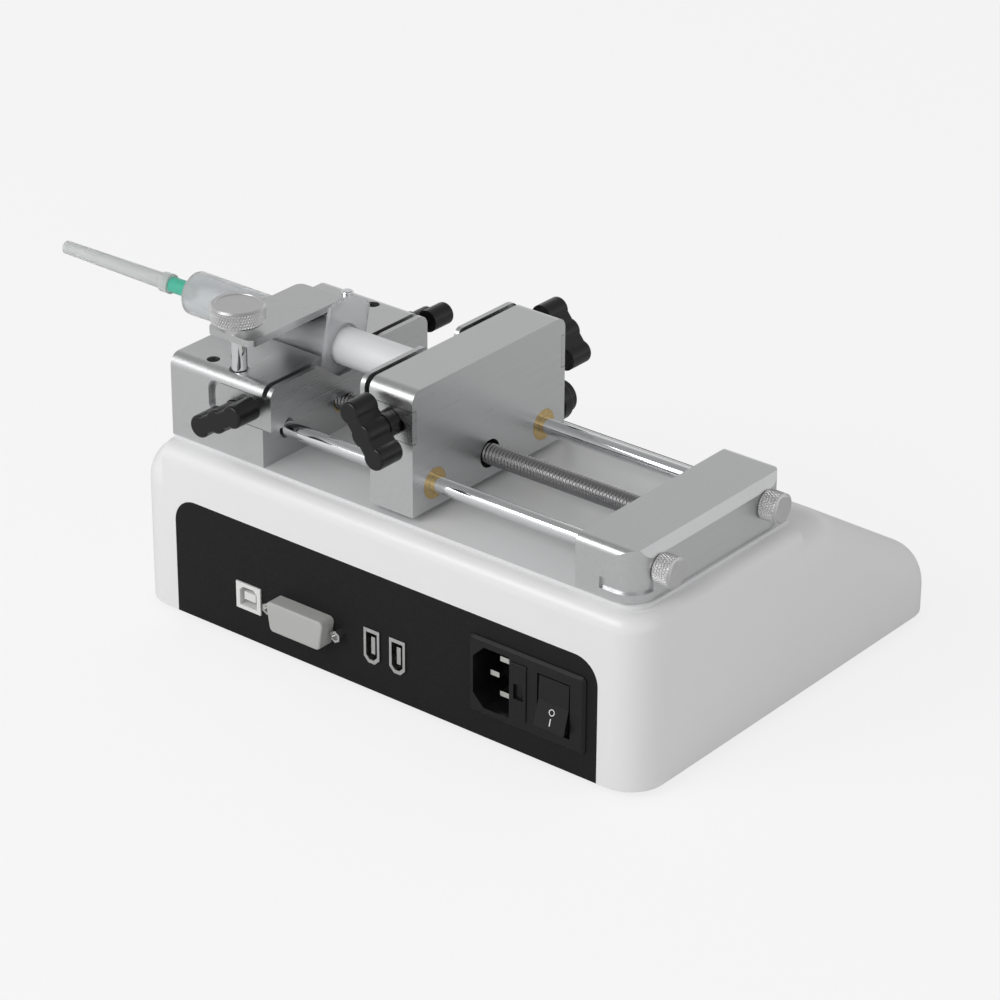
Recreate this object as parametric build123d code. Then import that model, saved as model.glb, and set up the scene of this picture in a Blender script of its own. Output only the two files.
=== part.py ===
from build123d import *
import math
import os

# Millimetres. +X runs from the drive end to the needle, +Y towards the back panel, +Z up.
# The origin is the bottom centre of the whole object at rest.

# Case
foot_height = 3.0
case_length = 237.5
case_depth = 185.7
case_end_x = -160.5
case_back_y = 88.0
case_wall = 3.0
case_side_radius = 14.0
case_back_radius = 15.0
body_top_z = 67.5
slope_depth = 70.0
slope_foot_z = 23.7
slope_top_radius = 18.0
lip_radius = 20.0

# Raised bed for the mechanism
bed_inset = 6.0
bed_length = 223.3
bed_width = 89.2
bed_edge_radius = 6.0
bed_top_z = 71.0
deck_thickness = 1.5
deck_margin = 0.6
opening_margin = 14.0
belt_slot_width = 12.5

# Base plate, feet and screws
base_thickness = 1.5
base_gap = 0.3
foot_radius = 7.0
foot_inset = 22.0
foot_edge = 0.6
foot_peg_radius = 2.5
boss_radius = 4.5
boss_height = 12.0
boss_offset = 3.0
boss_front_y = -50.0
boss_back_y = 55.0
case_screw_radius = 1.5
case_screw_head_radius = 2.8
case_screw_head = 1.3
case_screw_length = 8.0

# Back panel
panel_length = 198.8
panel_height = 48.1
panel_thickness = 2.0
panel_margin = 18.4
panel_corner_radius = 10.0
panel_ledge = 6.0
fit_gap = 0.1

# Display on the sloped front
glass_length = 112.0
glass_height = 56.0
glass_thickness = 2.0
glass_proud = 0.3
glass_corner = 4.0
display_margin = 4.0
display_depth = 6.0

# Mechanism layout
mech_y = 37.4
rod_half_spacing = 31.0
rod_height = 11.5
rod_radius = 3.0
screw_radius = 4.0
running_gap = 0.05

# Barrel block, which carries the syringe barrel
barrel_block_length = 45.2
barrel_block_width = 88.0
barrel_block_height = 32.5
block_edge_radius = 4.5
groove_half_width = 10.5
rod_mouth_radius = 3.85
rod_mouth_depth = 3.0
rod_seat_depth = 30.0
screw_mouth_radius = 5.0
screw_mouth_depth = 14.0
sleeve_length = 10.0
sleeve_setback = 0.5
spare_hole_radius = 2.5
spare_hole_depth = 12.0
spare_hole_setback = 15.4
hole_row_offset = 37.3

# Carriage block, which pushes the plunger
carriage_x = -33.2
carriage_thickness = 19.8
carriage_width = 86.4
carriage_lift = 2.1
carriage_height = 48.8
screw_clear_radius = 5.5
bush_radius = 6.0
bush_length = 5.0

# End housing over the screw drive
end_length = 26.5
end_height = 20.6
end_inset = 1.5
end_wall = 2.5
end_corner_radius = 10.0
end_bevel_drop = 4.0
end_bevel_run = 2.0
end_slot_height = 4.4
end_slot_depth = 1.2
end_slot_start = 16.1
end_slot_lift = 5.7
end_edge_radius = 3.0
end_hole_gap = 0.3
bearing_plate_thickness = 6.0
bearing_plate_width = 74.0
bearing_radius = 5.5
bearing_width = 5.0
bearing_step = 1.0

# Screw drive
journal_radius = 3.0
pulley_radius = 4.5
pulley_width = 7.0
pulley_flange = 1.0
pulley_flange_radius = 5.9
pulley_gap = 0.5
belt_thickness = 1.1
belt_gap = 0.3
belt_side_gap = 0.2
belt_room = 2.0
motor_size = 42.0
motor_length = 34.0
motor_z = 35.0
motor_corner = 4.0
motor_shaft_radius = 2.5
motor_shaft_inside = 10.0
motor_pilot_radius = 11.0
motor_pilot = 2.0
motor_bracket_thickness = 3.0
motor_bracket_width = 46.0
motor_bracket_foot = 24.0

# Knurled screws that hold the end housing on the rods
rod_knob_radius = 5.75
rod_knob_length = 7.6
rod_knob_chamfer = 0.7
rod_knob_shank_radius = 1.6
rod_knob_shank = 10.0
drilling_gap = 0.5

# Sheet-metal brackets that trap the barrel flange and the plunger head
bracket_thickness = 2.0
bracket_gap = 2.2
bracket_travel = 4.5
ear_height = 12.6
ear_gap = 0.2
barrel_ear_length = 27.1
barrel_ear_lift = 21.8
carriage_ear_lift = 35.1
carriage_ear_length = 24.0
ear_corner_radius = 3.5
ear_room = 3.5
wing_x_from_barrel_face = 8.4
wing_x_from_carriage_face = 9.9
barrel_bracket_band_low = 16.0
barrel_bracket_band_high = 20.7
bracket_rise_start = 37.6
bracket_rise_end = 32.4
bracket_dip_start = 24.0
bracket_dip_end = 16.0
barrel_notch_half_width = 16.8
barrel_notch_floor_half_width = 7.0
barrel_notch_drop = 7.8
barrel_notch_shoulder_radius = 9.0
barrel_notch_floor_radius = 4.0
plunger_slot_gap = 1.2
plunger_slot_edge_radius = 3.0
plunger_bracket_drop = 18.0
plunger_bracket_low_half_width = 24.0

# Wing screws
wing_screw_radius = 2.0
wing_screw_length = 9.0
wing_tip_gap = 1.0
wing_half_length = 13.4
wing_tip_radius = 4.4
wing_web = 6.8
wing_waist_radius = 4.6
wing_thickness = 11.0
wing_boss_radius = 5.0
wing_boss_height = 5.0
wing_edge = 1.0
wing_gap = 0.3
barrel_wing_angle = 28.0
carriage_wing_angle = -52.0

# Barrel clamp
clamp_setback = 28.3
clamp_post_radius = 3.0
clamp_post_tip_radius = 2.5
clamp_post_depth = 16.2
clamp_hole_depth = 16.5
clamp_mouth_radius = 3.75
clamp_mouth_depth = 1.0
clamp_plate_width = 22.0
clamp_plate_thickness = 2.7
clamp_plate_back = 5.4
clamp_plate_front = 45.8
clamp_plate_corner = 3.0
clamp_pad_length = 14.0
clamp_pad_width = 16.0
clamp_pad_thickness = 2.6
clamp_pad_corner = 1.5
clamp_hub_radius = 5.5
clamp_hub_height = 3.5
clamp_knob_radius = 10.25
clamp_knob_height = 7.0
clamp_knob_chamfer = 0.8
clamp_post_in_knob = 7.0
stop_pin_radius = 1.8
stop_pin_head_radius = 2.4
stop_pin_height = 2.2
stop_pin_depth = 9.0
stop_pin_edge = 0.8

# Syringe
barrel_radius = 8.5
barrel_wall = 0.9
barrel_length = 76.0
barrel_floor = 2.0
barrel_shoulder = 1.2
barrel_seat_gap = 0.05
barrel_flange_thickness = 1.6
barrel_flange_half_length = 18.5
barrel_flange_half_width = 11.0
barrel_flange_angle = 12.0
flange_play = 0.3
nozzle_radius = 2.0
nozzle_taper = 0.2
nozzle_bore = 0.8
nozzle_length = 9.0
plunger_radius = 7.3
plunger_head_radius = 10.5
plunger_head_thickness = 1.6
stopper_length = 8.0
stopper_rib_depth = 0.6
stopper_rib_width = 1.8
stopper_cone = 2.4
stopper_nose_radius = 1.5
stopper_gap = 32.7
hub_radius = 3.1
hub_setback = 2.3
hub_length = 12.5
hub_front_radius = 2.5
hub_front_length = 3.5
hub_flange_radius = 3.6
hub_flange_width = 1.5
hub_socket_gap = 0.2
needle_radius = 0.4
needle_length = 40.0
needle_in_hub = 5.0
cap_collar_radius = 3.9
cap_collar_length = 4.0
cap_collar_slope = 0.8
cap_base_radius = 3.1
cap_tip_radius = 2.6
cap_tip_round = 1.2
cap_wall = 0.45
cap_length = 57.2
cap_mouth_gap = 0.25
cap_hub_gap = 0.4

# Release button and half nut on the carriage
button_radius = 8.0
button_cap_radius = 6.6
button_base_length = 5.0
button_base_edge = 0.6
button_cap_length = 3.0
button_cap_edge = 0.8
button_groove_radius = 5.6
button_groove_width = 1.0
button_travel = 3.0
yoke_height = 14.0
yoke_thickness = 8.0
yoke_gap = 0.1
yoke_reach = 10.0
yoke_arm_height = 2.2
nut_engage_gap = 0.06
nut_face_gap = 0.5
nut_clearance = 0.4

# Ruler
ruler_width = 13.0
ruler_thickness = 0.6
ruler_offset = 17.5
ruler_end_gap = 2.0

# Boards and power supply
board_top_z = 14.5
board_thickness = 1.6
board_length = 98.0
board_depth = 56.0
board_back_gap = 1.5
board_x = -14.0
standoff_radius = 2.5
standoff_inset = 6.0
chip_size = 12.0
chip_height = 2.0
chip_pitch = 30.0
supply_length = 110.0
supply_width = 50.0
supply_height = 27.0
supply_x = -40.0
supply_y = -35.0
supply_wall = 1.2
supply_slot_count = 9
supply_slot_pitch = 10.0
supply_slot_width = 3.0
supply_slot_margin = 8.0

# Connectors, placed along the panel
connector_proud = 0.6
tongue_setback = 1.0
usb_x = 20.3
usb_z = 20.7
usb_width = 12.0
usb_height = 10.9
usb_depth = 16.0
usb_mouth_width = 8.4
usb_mouth_height = 7.8
usb_mouth_depth = 9.0
usb_mouth_chamfer = 1.6
usb_tongue_width = 5.6
usb_tongue_height = 3.2
data_x = -7.7
data_z = 21.0
data_flange_length = 39.2
data_flange_height = 12.5
data_flange_thickness = 1.0
data_corner = 1.5
data_shell_length = 25.0
data_shell_height = 8.4
data_shell_slant = 1.4
data_shell_proud = 5.6
data_shell_wall = 0.6
data_body_depth = 10.0
data_leg_length = 16.0
data_screw_spacing = 33.3
jack_screw_radius = 2.4
jack_screw_proud = 3.0
jack_screw_bore = 1.3
cover_length = 27.9
cover_height = 12.0
cover_depth = 6.8
cover_slant = 2.0
cover_corner = 2.0
cover_edge = 0.8
cover_gap = 0.15
bus_x = (-39.8, -51.9)
bus_z = 21.5
bus_width = 7.4
bus_height = 14.0
bus_chamfer = 2.2
bus_depth = 14.0
bus_mouth_width = 5.2
bus_mouth_height = 11.0
bus_mouth_depth = 10.0
bus_tongue_width = 1.8
bus_tongue_height = 7.0

# Mains inlet module
inlet_x = -111.5
inlet_z = 28.0
inlet_length = 52.0
inlet_height = 31.0
inlet_flange = 1.4
inlet_flange_corner = 2.0
inlet_flange_bevel = 1.0
inlet_body_margin = 1.5
inlet_depth = 26.0
socket_x = -96.0
socket_width = 16.4
socket_height = 24.4
socket_chamfer = 4.8
socket_depth = 17.0
pin_length = 12.0
pin_width = 4.0
pin_thickness = 2.0
pin_tail = 3.0
pin_half_spacing = 7.0
pin_offset = 2.2
fuse_x = -108.7
fuse_drawer_width = 6.8
fuse_drawer_height = 22.4
fuse_drawer_depth = 16.0
fuse_drawer_proud = 0.5
fuse_drawer_edge = 0.4
fuse_grip_height = 6.0
fuse_grip_depth = 1.2
fuse_grip_margin = 1.2
fuse_radius = 2.5
fuse_length = 20.0
rocker_x = -124.0
rocker_width = 13.4
rocker_half_height = 9.6
rocker_side_gap = 0.6
rocker_end_gap = 1.2
rocker_well = 11.0
rocker_tilt = 9.0
rocker_pivot_depth = 3.0
rocker_tip = 4.2
rocker_middle = 3.0
rocker_back = 4.5
rocker_heel = 1.5
rocker_taper = 0.4
rocker_pivot_radius = 1.2
rocker_pivot_reach = 0.9

# Places worked out from the sizes above
deck_z = bed_top_z + deck_thickness
case_far_x = case_end_x + case_length
case_front_y = case_back_y - case_depth
case_mid_x = (case_end_x + case_far_x) / 2
base_top_z = foot_height + base_thickness
bed_back_y = case_back_y - bed_inset
bed_front_y = bed_back_y - bed_width
bed_end_x = case_end_x + bed_inset
bed_far_x = case_end_x + bed_length
slope_angle = math.degrees(math.atan2(body_top_z - slope_foot_z, slope_depth))
slope_top_y = case_front_y + slope_depth
rod_z = deck_z + rod_height
rod_ys = (mech_y + rod_half_spacing, mech_y - rod_half_spacing)
barrel_block_x = bed_far_x - barrel_block_length
barrel_block_top_z = deck_z + barrel_block_height
barrel_block_side = barrel_block_width / 2
carriage_z = deck_z + carriage_lift
carriage_top_z = carriage_z + carriage_height
carriage_side = carriage_width / 2
carriage_back_x = carriage_x - carriage_thickness
carriage_mid_x = carriage_x - carriage_thickness / 2
end_x = bed_end_x + end_inset
end_face_x = end_x + end_length
end_top_z = deck_z + end_height
rod_start_x = end_x + end_wall + drilling_gap
bearing_plate_x = end_face_x - end_wall - bearing_plate_thickness
pulley_x = bearing_plate_x - pulley_gap - pulley_width / 2
motor_bracket_x = end_face_x - motor_bracket_thickness
clamp_x = bed_far_x - clamp_setback
spare_hole_x = bed_far_x - spare_hole_setback
clamp_y = mech_y + hole_row_offset
far_hole_y = mech_y - hole_row_offset
panel_x = case_end_x + panel_margin
panel_top_z = foot_height + panel_height
panel_inner_y = case_back_y - panel_thickness
inlet_face_y = case_back_y + inlet_flange
fuse_y = inlet_face_y - fuse_drawer_depth / 2
groove_bottom_z = barrel_block_top_z - groove_half_width
syringe_z = groove_bottom_z + (barrel_radius + barrel_seat_gap) * math.sqrt(2)
barrel_bracket_x = barrel_block_x - bracket_gap - bracket_thickness
plunger_bracket_x = carriage_x + bracket_gap
barrel_flange_x = barrel_block_x - flange_play - barrel_flange_thickness
barrel_front_x = barrel_flange_x + barrel_length
plunger_head_x = carriage_x + flange_play
stopper_front_x = barrel_front_x - barrel_floor - stopper_gap
hub_x = barrel_front_x + hub_setback
hub_front_x = hub_x + hub_length
cap_x = hub_front_x - hub_front_length + cap_hub_gap
wing_barrel_x = barrel_block_x + wing_x_from_barrel_face
wing_carriage_x = carriage_x - wing_x_from_carriage_face
barrel_ear_z = deck_z + barrel_ear_lift
carriage_ear_z = carriage_z + carriage_ear_lift
clamp_plate_z = syringe_z + barrel_radius + flange_play + clamp_pad_thickness
clamp_knob_z = clamp_plate_z + clamp_plate_thickness + clamp_hub_height
pocket_depth = bracket_thickness + fit_gap


def span_box(x, y, z):
    """Box between two limits on each axis."""
    limits = (sorted(x), sorted(y), sorted(z))
    size = [b - a for a, b in limits]
    middle = [(a + b) / 2 for a, b in limits]
    return Pos(*middle) * Box(*size)


def bar_x(radius, x0, x1, y, z):
    """Round bar along X."""
    return Pos((x0 + x1) / 2, y, z) * Rot(0, 90, 0) * Cylinder(radius, x1 - x0)


def bar_y(radius, y0, y1, x, z):
    """Round bar along Y."""
    return Pos(x, (y0 + y1) / 2, z) * Rot(90, 0, 0) * Cylinder(radius, y1 - y0)


def bar_z(radius, z0, z1, x, y):
    """Round bar along Z."""
    return Pos(x, y, (z0 + z1) / 2) * Cylinder(radius, z1 - z0)


def side_prism(points, x0, x1):
    """Outline given as (y, z) points, drawn out along X."""
    outline = Polyline(*[(x0, y, z) for y, z in points], close=True)
    return extrude(make_face(outline), amount=x1 - x0, dir=(1, 0, 0))


def back_prism(points, y0, y1):
    """Outline given as (x, z) points, drawn out along Y."""
    outline = Polyline(*[(x, y0, z) for x, z in points], close=True)
    return extrude(make_face(outline), amount=y1 - y0, dir=(0, 1, 0))


def turned_x(profile, x, y, z):
    """Solid turned about an axis along X, from (distance along the axis, radius) points."""
    outline = make_face(Polyline(*[(a, 0, r) for a, r in profile], close=True))
    return Pos(x, y, z) * revolve(outline, axis=Axis.X)


def edges_at(shape, x=None, y=None, z=None, along=None):
    """Edges whose middle lies at the given coordinates."""
    found = shape.edges()
    if along is not None:
        found = found.filter_by(along)
    for axis, value in ((Axis.X, x), (Axis.Y, y), (Axis.Z, z)):
        if value is not None:
            found = found.filter_by_position(axis, value - 0.01, value + 0.01)
    return found


def circles(shape):
    """Round edges of a turned solid."""
    return shape.edges().filter_by(GeomType.CIRCLE)


def both_sides(shape):
    """A piece and its twin on the other side of the screw."""
    return shape + mirror(shape, about=Plane.XZ.offset(-mech_y))


def as_group(solids):
    """Separate solids kept in one piece of the model."""
    return Compound(children=list(solids))


def case_form(inset, bottom_z):
    """The case without its hollow: a box with a sloped front, rounded on its two ends."""
    x0, x1 = case_end_x + inset, case_far_x - inset
    back, front = case_back_y - inset, case_front_y + inset
    top = body_top_z - inset
    slope = math.radians(slope_angle)
    top_y = slope_top_y + inset * math.tan(slope / 2)
    lip_z = slope_foot_z + inset * (math.tan(slope) - 1 / math.cos(slope))
    outline = [(back, bottom_z), (back, top), (top_y, top), (front, lip_z), (front, bottom_z)]
    body = side_prism(outline, x0, x1)
    body = fillet(edges_at(body, y=back, z=top, along=Axis.X), case_back_radius - inset)
    body = fillet(edges_at(body, y=top_y, z=top, along=Axis.X), slope_top_radius - inset)
    body = fillet(edges_at(body, y=front, z=lip_z, along=Axis.X), lip_radius - inset)
    ends = body.faces().filter_by(Axis.X)
    rims = [e for face in ends for e in face.edges() if e.center().Z > bottom_z + 0.01]
    body = fillet(rims, case_side_radius - inset)
    far, near = bed_far_x - inset, bed_front_y + inset
    bed = span_box((x0, far), (near, back), (bottom_z, bed_top_z - inset))
    bed = fillet(edges_at(bed, x=x0, y=back, along=Axis.Z), case_side_radius - inset)
    rim = bed.faces().sort_by(Axis.Z)[-1].edges()
    rim = [e for e in rim if e.center().X < far - 1 and e.center().Y > near + 1]
    return body + fillet(rim, bed_edge_radius - inset)


def panel_outline(gap, y0, y1):
    """Back panel shape: square at the bottom, rounded at the top."""
    x0, x1 = panel_x - gap, panel_x + panel_length + gap
    plate = span_box((x0, x1), (y0, y1), (foot_height, panel_top_z + gap))
    return fillet(edges_at(plate, z=panel_top_z + gap, along=Axis.Y), panel_corner_radius + gap)


def boss_places():
    """Centres of the four screw bosses."""
    near = case_end_x + case_wall + boss_offset
    far = case_far_x - case_wall - boss_offset
    return [(x, y) for x in (near, far) for y in (boss_front_y, boss_back_y)]


def slope_plane():
    """Plane on the middle of the sloped front, with its normal outwards."""
    angle = math.radians(slope_angle)
    middle = (case_mid_x, case_front_y + slope_depth / 2, (slope_foot_z + body_top_z) / 2)
    return Plane(middle, x_dir=(1, 0, 0), z_dir=(0, -math.sin(angle), math.cos(angle)))


def slope_block(length, height, low, high, corner=0.0):
    """Block square to the sloped front, between two depths measured from its surface."""
    block = Box(length, height, high - low)
    if corner > 0:
        block = fillet(block.edges().filter_by(Axis.Z), corner)
    return slope_plane() * Pos(0, 0, (low + high) / 2) * block


def deck_opening():
    """Limits of the opening in the bed that the deck covers."""
    x = (bed_end_x + opening_margin / 2, barrel_block_x - opening_margin)
    y = (bed_front_y + opening_margin, bed_back_y - opening_margin)
    return x, y


def case_shell():
    """Moulded case, open at the bottom, with bosses for the base screws."""
    shell = case_form(0, foot_height) - case_form(case_wall, foot_height - 1)
    inside = case_form(case_wall / 2, base_top_z)
    for x, y in boss_places():
        shell += bar_z(boss_radius, base_top_z, base_top_z + boss_height, x, y) & inside
        shell -= bar_z(case_screw_radius + fit_gap, foot_height, base_top_z + case_screw_length, x, y)
    shell -= panel_outline(fit_gap, panel_inner_y, case_back_y + 1)
    window_x = (panel_x + panel_ledge, panel_x + panel_length - panel_ledge)
    window_y = (case_back_y - case_wall - 1, case_back_y)
    shell -= span_box(window_x, window_y, (0, panel_top_z - panel_ledge))
    shell -= span_box(*deck_opening(), (bed_top_z - case_wall - 1, bed_top_z + 1))
    recess = glass_thickness - glass_proud
    recess_size = (glass_length + 2 * fit_gap, glass_height + 2 * fit_gap)
    shell -= slope_block(*recess_size, -recess, 5, glass_corner)
    window_size = (glass_length - 2 * display_margin, glass_height - 2 * display_margin)
    return shell - slope_block(*window_size, -case_wall - 2, 5)


def base_plate():
    """Sheet inside the rim of the case, with standoffs for the board."""
    edge = case_wall + base_gap
    x = (case_end_x + edge, case_far_x - edge)
    y = (case_front_y + edge, case_back_y - edge)
    plate = span_box(x, y, (foot_height, base_top_z))
    plate = fillet(plate.edges().filter_by(Axis.Z), case_side_radius - edge)
    for px, py in boss_places():
        plate -= bar_z(case_screw_radius + fit_gap, 0, base_top_z + 1, px, py)
    for px, py in standoff_places():
        plate += bar_z(standoff_radius, base_top_z, board_top_z - board_thickness, px, py)
    for px, py in foot_places():
        plate -= bar_z(foot_peg_radius + fit_gap, 0, base_top_z + 1, px, py)
    return plate


def foot_places():
    """Centres of the four feet."""
    x = (case_end_x + foot_inset, case_far_x - foot_inset)
    y = (case_front_y + foot_inset, case_back_y - foot_inset)
    return [(a, b) for a in x for b in y]


def feet():
    """Four rubber feet, each with a peg through the base plate."""
    made = []
    for x, y in foot_places():
        foot = bar_z(foot_radius, 0, foot_height, x, y)
        foot = chamfer(circles(foot).sort_by(Axis.Z)[0], foot_edge)
        made.append(foot + bar_z(foot_peg_radius, foot_height, base_top_z, x, y))
    return as_group(made)


def base_screws():
    """Four screws that hold the base plate to the bosses."""
    made = []
    for x, y in boss_places():
        head = bar_z(case_screw_head_radius, foot_height - case_screw_head, foot_height, x, y)
        made.append(head + bar_z(case_screw_radius, foot_height, foot_height + case_screw_length, x, y))
    return as_group(made)


def rear_panel():
    """Panel in the back recess, with the connector cut-outs."""
    panel = panel_outline(0, panel_inner_y, case_back_y)
    for hole in connector_holes():
        panel -= hole
    return panel


def connector_holes():
    """Cut-outs through the back panel."""
    y = (panel_inner_y - 1, case_back_y + 1)
    usb_half, usb_rise = usb_width / 2 + fit_gap, usb_height / 2 + fit_gap
    holes = [span_box((usb_x - usb_half, usb_x + usb_half), y, (usb_z - usb_rise, usb_z + usb_rise))]
    holes.append(data_outline(data_shell_length + 2 * fit_gap, data_shell_height + 2 * fit_gap, *y))
    for x in jack_screw_places():
        holes.append(bar_y(jack_screw_bore + fit_gap, *y, x, data_z))
    for x in bus_x:
        holes.append(bus_outline(x, bus_width + 2 * fit_gap, bus_height + 2 * fit_gap, *y))
    half = inlet_length / 2 - inlet_body_margin + fit_gap
    rise = inlet_height / 2 - inlet_body_margin + fit_gap
    holes.append(span_box((inlet_x - half, inlet_x + half), y, (inlet_z - rise, inlet_z + rise)))
    return holes


def usb_port():
    """Square port with its tongue, standing on the board."""
    y = (case_back_y + connector_proud - usb_depth, case_back_y + connector_proud)
    x = (usb_x - usb_width / 2, usb_x + usb_width / 2)
    front = span_box(x, y, (usb_z - usb_height / 2, usb_z + usb_height / 2))
    leg = span_box(x, (y[0], panel_inner_y - fit_gap), (board_top_z, usb_z))
    half_width, half_height = usb_mouth_width / 2, usb_mouth_height / 2
    cut = usb_mouth_chamfer
    mouth = [
        (usb_x - half_width, usb_z - half_height),
        (usb_x + half_width, usb_z - half_height),
        (usb_x + half_width, usb_z + half_height - cut),
        (usb_x + half_width - cut, usb_z + half_height),
        (usb_x - half_width + cut, usb_z + half_height),
        (usb_x - half_width, usb_z + half_height - cut),
    ]
    port = front + leg - back_prism(mouth, y[1] - usb_mouth_depth, y[1] + 1)
    tongue_x = (usb_x - usb_tongue_width / 2, usb_x + usb_tongue_width / 2)
    tongue_z = (usb_z - usb_tongue_height / 2, usb_z + usb_tongue_height / 2)
    return port + span_box(tongue_x, (y[1] - usb_mouth_depth, y[1] - tongue_setback), tongue_z)


def data_outline(length, height, y0, y1, slant=data_shell_slant, corner=data_corner):
    """D shape, wider at the top."""
    half, rise = length / 2, height / 2
    points = [
        (data_x - half, data_z + rise),
        (data_x + half, data_z + rise),
        (data_x + half - slant, data_z - rise),
        (data_x - half + slant, data_z - rise),
    ]
    block = back_prism(points, y0, y1)
    return fillet(block.edges().filter_by(Axis.Y), corner)


def jack_screw_places():
    """Middle of each jack screw along the panel."""
    return (data_x - data_screw_spacing / 2, data_x + data_screw_spacing / 2)


def data_connector():
    """D connector behind the panel, with its flange against the inside."""
    half, rise = data_flange_length / 2, data_flange_height / 2
    flange_y = (panel_inner_y - data_flange_thickness, panel_inner_y)
    flange = span_box((data_x - half, data_x + half), flange_y, (data_z - rise, data_z + rise))
    flange = fillet(flange.edges().filter_by(Axis.Y), data_corner)
    for x in jack_screw_places():
        flange -= bar_y(jack_screw_bore + fit_gap, flange_y[0] - 1, flange_y[1] + 1, x, data_z)
    front_y = case_back_y + data_shell_proud
    shell = data_outline(data_shell_length, data_shell_height, flange_y[0], front_y)
    inner_size = (data_shell_length - 2 * data_shell_wall, data_shell_height - 2 * data_shell_wall)
    inner_corner = data_corner - data_shell_wall
    shell -= data_outline(*inner_size, panel_inner_y, front_y + 1, corner=inner_corner)
    back_y = panel_inner_y - data_body_depth
    back = data_outline(data_shell_length, data_shell_height, back_y, flange_y[0])
    leg_x = (data_x - data_leg_length / 2, data_x + data_leg_length / 2)
    leg = span_box(leg_x, (back_y, flange_y[0] - 1), (board_top_z, data_z))
    return flange + shell + back + leg


def jack_screws():
    """Two hexagonal screws beside the D connector."""
    made = []
    front = case_back_y + jack_screw_proud
    for x in jack_screw_places():
        face = Plane((x, case_back_y, data_z), x_dir=(0, 0, 1), z_dir=(0, 1, 0))
        head = extrude(face * RegularPolygon(jack_screw_radius, 6), jack_screw_proud)
        head -= bar_y(jack_screw_bore, case_back_y + 1, front + 1, x, data_z)
        shank_y = (panel_inner_y - data_flange_thickness, case_back_y)
        made.append(head + bar_y(jack_screw_bore, *shank_y, x, data_z))
    return as_group(made)


def dust_cover():
    """Cover over the D connector, hollow where the shell goes in."""
    y = (case_back_y, case_back_y + cover_depth)
    cover = data_outline(cover_length, cover_height, *y, slant=cover_slant, corner=cover_corner)
    cover = fillet(cover.faces().sort_by(Axis.Y)[-1].edges(), cover_edge)
    inner_size = (data_shell_length + 2 * cover_gap, data_shell_height + 2 * cover_gap)
    return cover - data_outline(*inner_size, case_back_y - 1, case_back_y + data_shell_proud + cover_gap)


def bus_outline(x, width, height, y0, y1):
    """Tall port shape: square at the top, with its two lower corners cut."""
    half, rise = width / 2, height / 2
    cut = bus_chamfer * width / bus_width
    points = [
        (x - half, bus_z + rise),
        (x + half, bus_z + rise),
        (x + half, bus_z - rise + cut),
        (x + half - cut, bus_z - rise),
        (x - half + cut, bus_z - rise),
        (x - half, bus_z - rise + cut),
    ]
    return back_prism(points, y0, y1)


def bus_ports():
    """Two tall ports side by side, standing on the board."""
    made = []
    front = case_back_y + connector_proud
    for x in bus_x:
        port = bus_outline(x, bus_width, bus_height, front - bus_depth, front)
        mouth_y = (front - bus_mouth_depth, front + 1)
        port -= bus_outline(x, bus_mouth_width, bus_mouth_height, *mouth_y)
        tongue_x = (x - bus_tongue_width / 2, x + bus_tongue_width / 2)
        tongue_z = (bus_z - bus_tongue_height / 2, bus_z + bus_tongue_height / 2)
        made.append(port + span_box(tongue_x, (mouth_y[0], front - tongue_setback), tongue_z))
    return as_group(made)


def socket_outline(y0, y1):
    """Mains socket shape, with the two corners beside the earth pin cut."""
    half, rise, cut = socket_width / 2, socket_height / 2, socket_chamfer
    points = [
        (socket_x - half, inlet_z - rise),
        (socket_x + half - cut, inlet_z - rise),
        (socket_x + half, inlet_z - rise + cut),
        (socket_x + half, inlet_z + rise - cut),
        (socket_x + half - cut, inlet_z + rise),
        (socket_x - half, inlet_z + rise),
    ]
    return back_prism(points, y0, y1)


def inlet_pins():
    """The three contact blades: two beside the fuse drawer and the earth blade alone."""
    y = (case_back_y - inlet_depth - pin_tail, inlet_face_y - socket_depth + pin_length)
    places = [
        (socket_x - pin_offset, inlet_z - pin_half_spacing),
        (socket_x - pin_offset, inlet_z + pin_half_spacing),
        (socket_x + pin_offset, inlet_z),
    ]
    half, rise = pin_width / 2, pin_thickness / 2
    return [span_box((x - half, x + half), y, (z - rise, z + rise)) for x, z in places]


def inlet_body():
    """Mains inlet module with its socket, fuse bay and switch well."""
    half, rise = inlet_length / 2, inlet_height / 2
    flange_y = (case_back_y, inlet_face_y)
    flange = span_box((inlet_x - half, inlet_x + half), flange_y, (inlet_z - rise, inlet_z + rise))
    flange = fillet(flange.edges().filter_by(Axis.Y), inlet_flange_corner)
    flange = chamfer(flange.faces().sort_by(Axis.Y)[-1].edges(), inlet_flange_bevel)
    half, rise = half - inlet_body_margin, rise - inlet_body_margin
    body_y = (case_back_y - inlet_depth, case_back_y)
    body = flange + span_box((inlet_x - half, inlet_x + half), body_y, (inlet_z - rise, inlet_z + rise))
    body -= socket_outline(inlet_face_y - socket_depth, inlet_face_y + 1)
    for pin in inlet_pins():
        body -= pin
    bay = fuse_drawer_width / 2 + fit_gap
    bay_rise = fuse_drawer_height / 2 + fit_gap
    bay_y = (inlet_face_y - fuse_drawer_depth - fit_gap, inlet_face_y + 1)
    body -= span_box((fuse_x - bay, fuse_x + bay), bay_y, (inlet_z - bay_rise, inlet_z + bay_rise))
    well = rocker_width / 2 + rocker_side_gap
    well_rise = rocker_half_height + rocker_end_gap
    well_y = (inlet_face_y - rocker_well, inlet_face_y + 1)
    body -= span_box((rocker_x - well, rocker_x + well), well_y, (inlet_z - well_rise, inlet_z + well_rise))
    reach = rocker_width / 2 + rocker_pivot_reach + fit_gap
    pivot_y = inlet_face_y - rocker_pivot_depth
    return body - bar_x(rocker_pivot_radius + running_gap, rocker_x - reach, rocker_x + reach, pivot_y, inlet_z)


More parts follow.
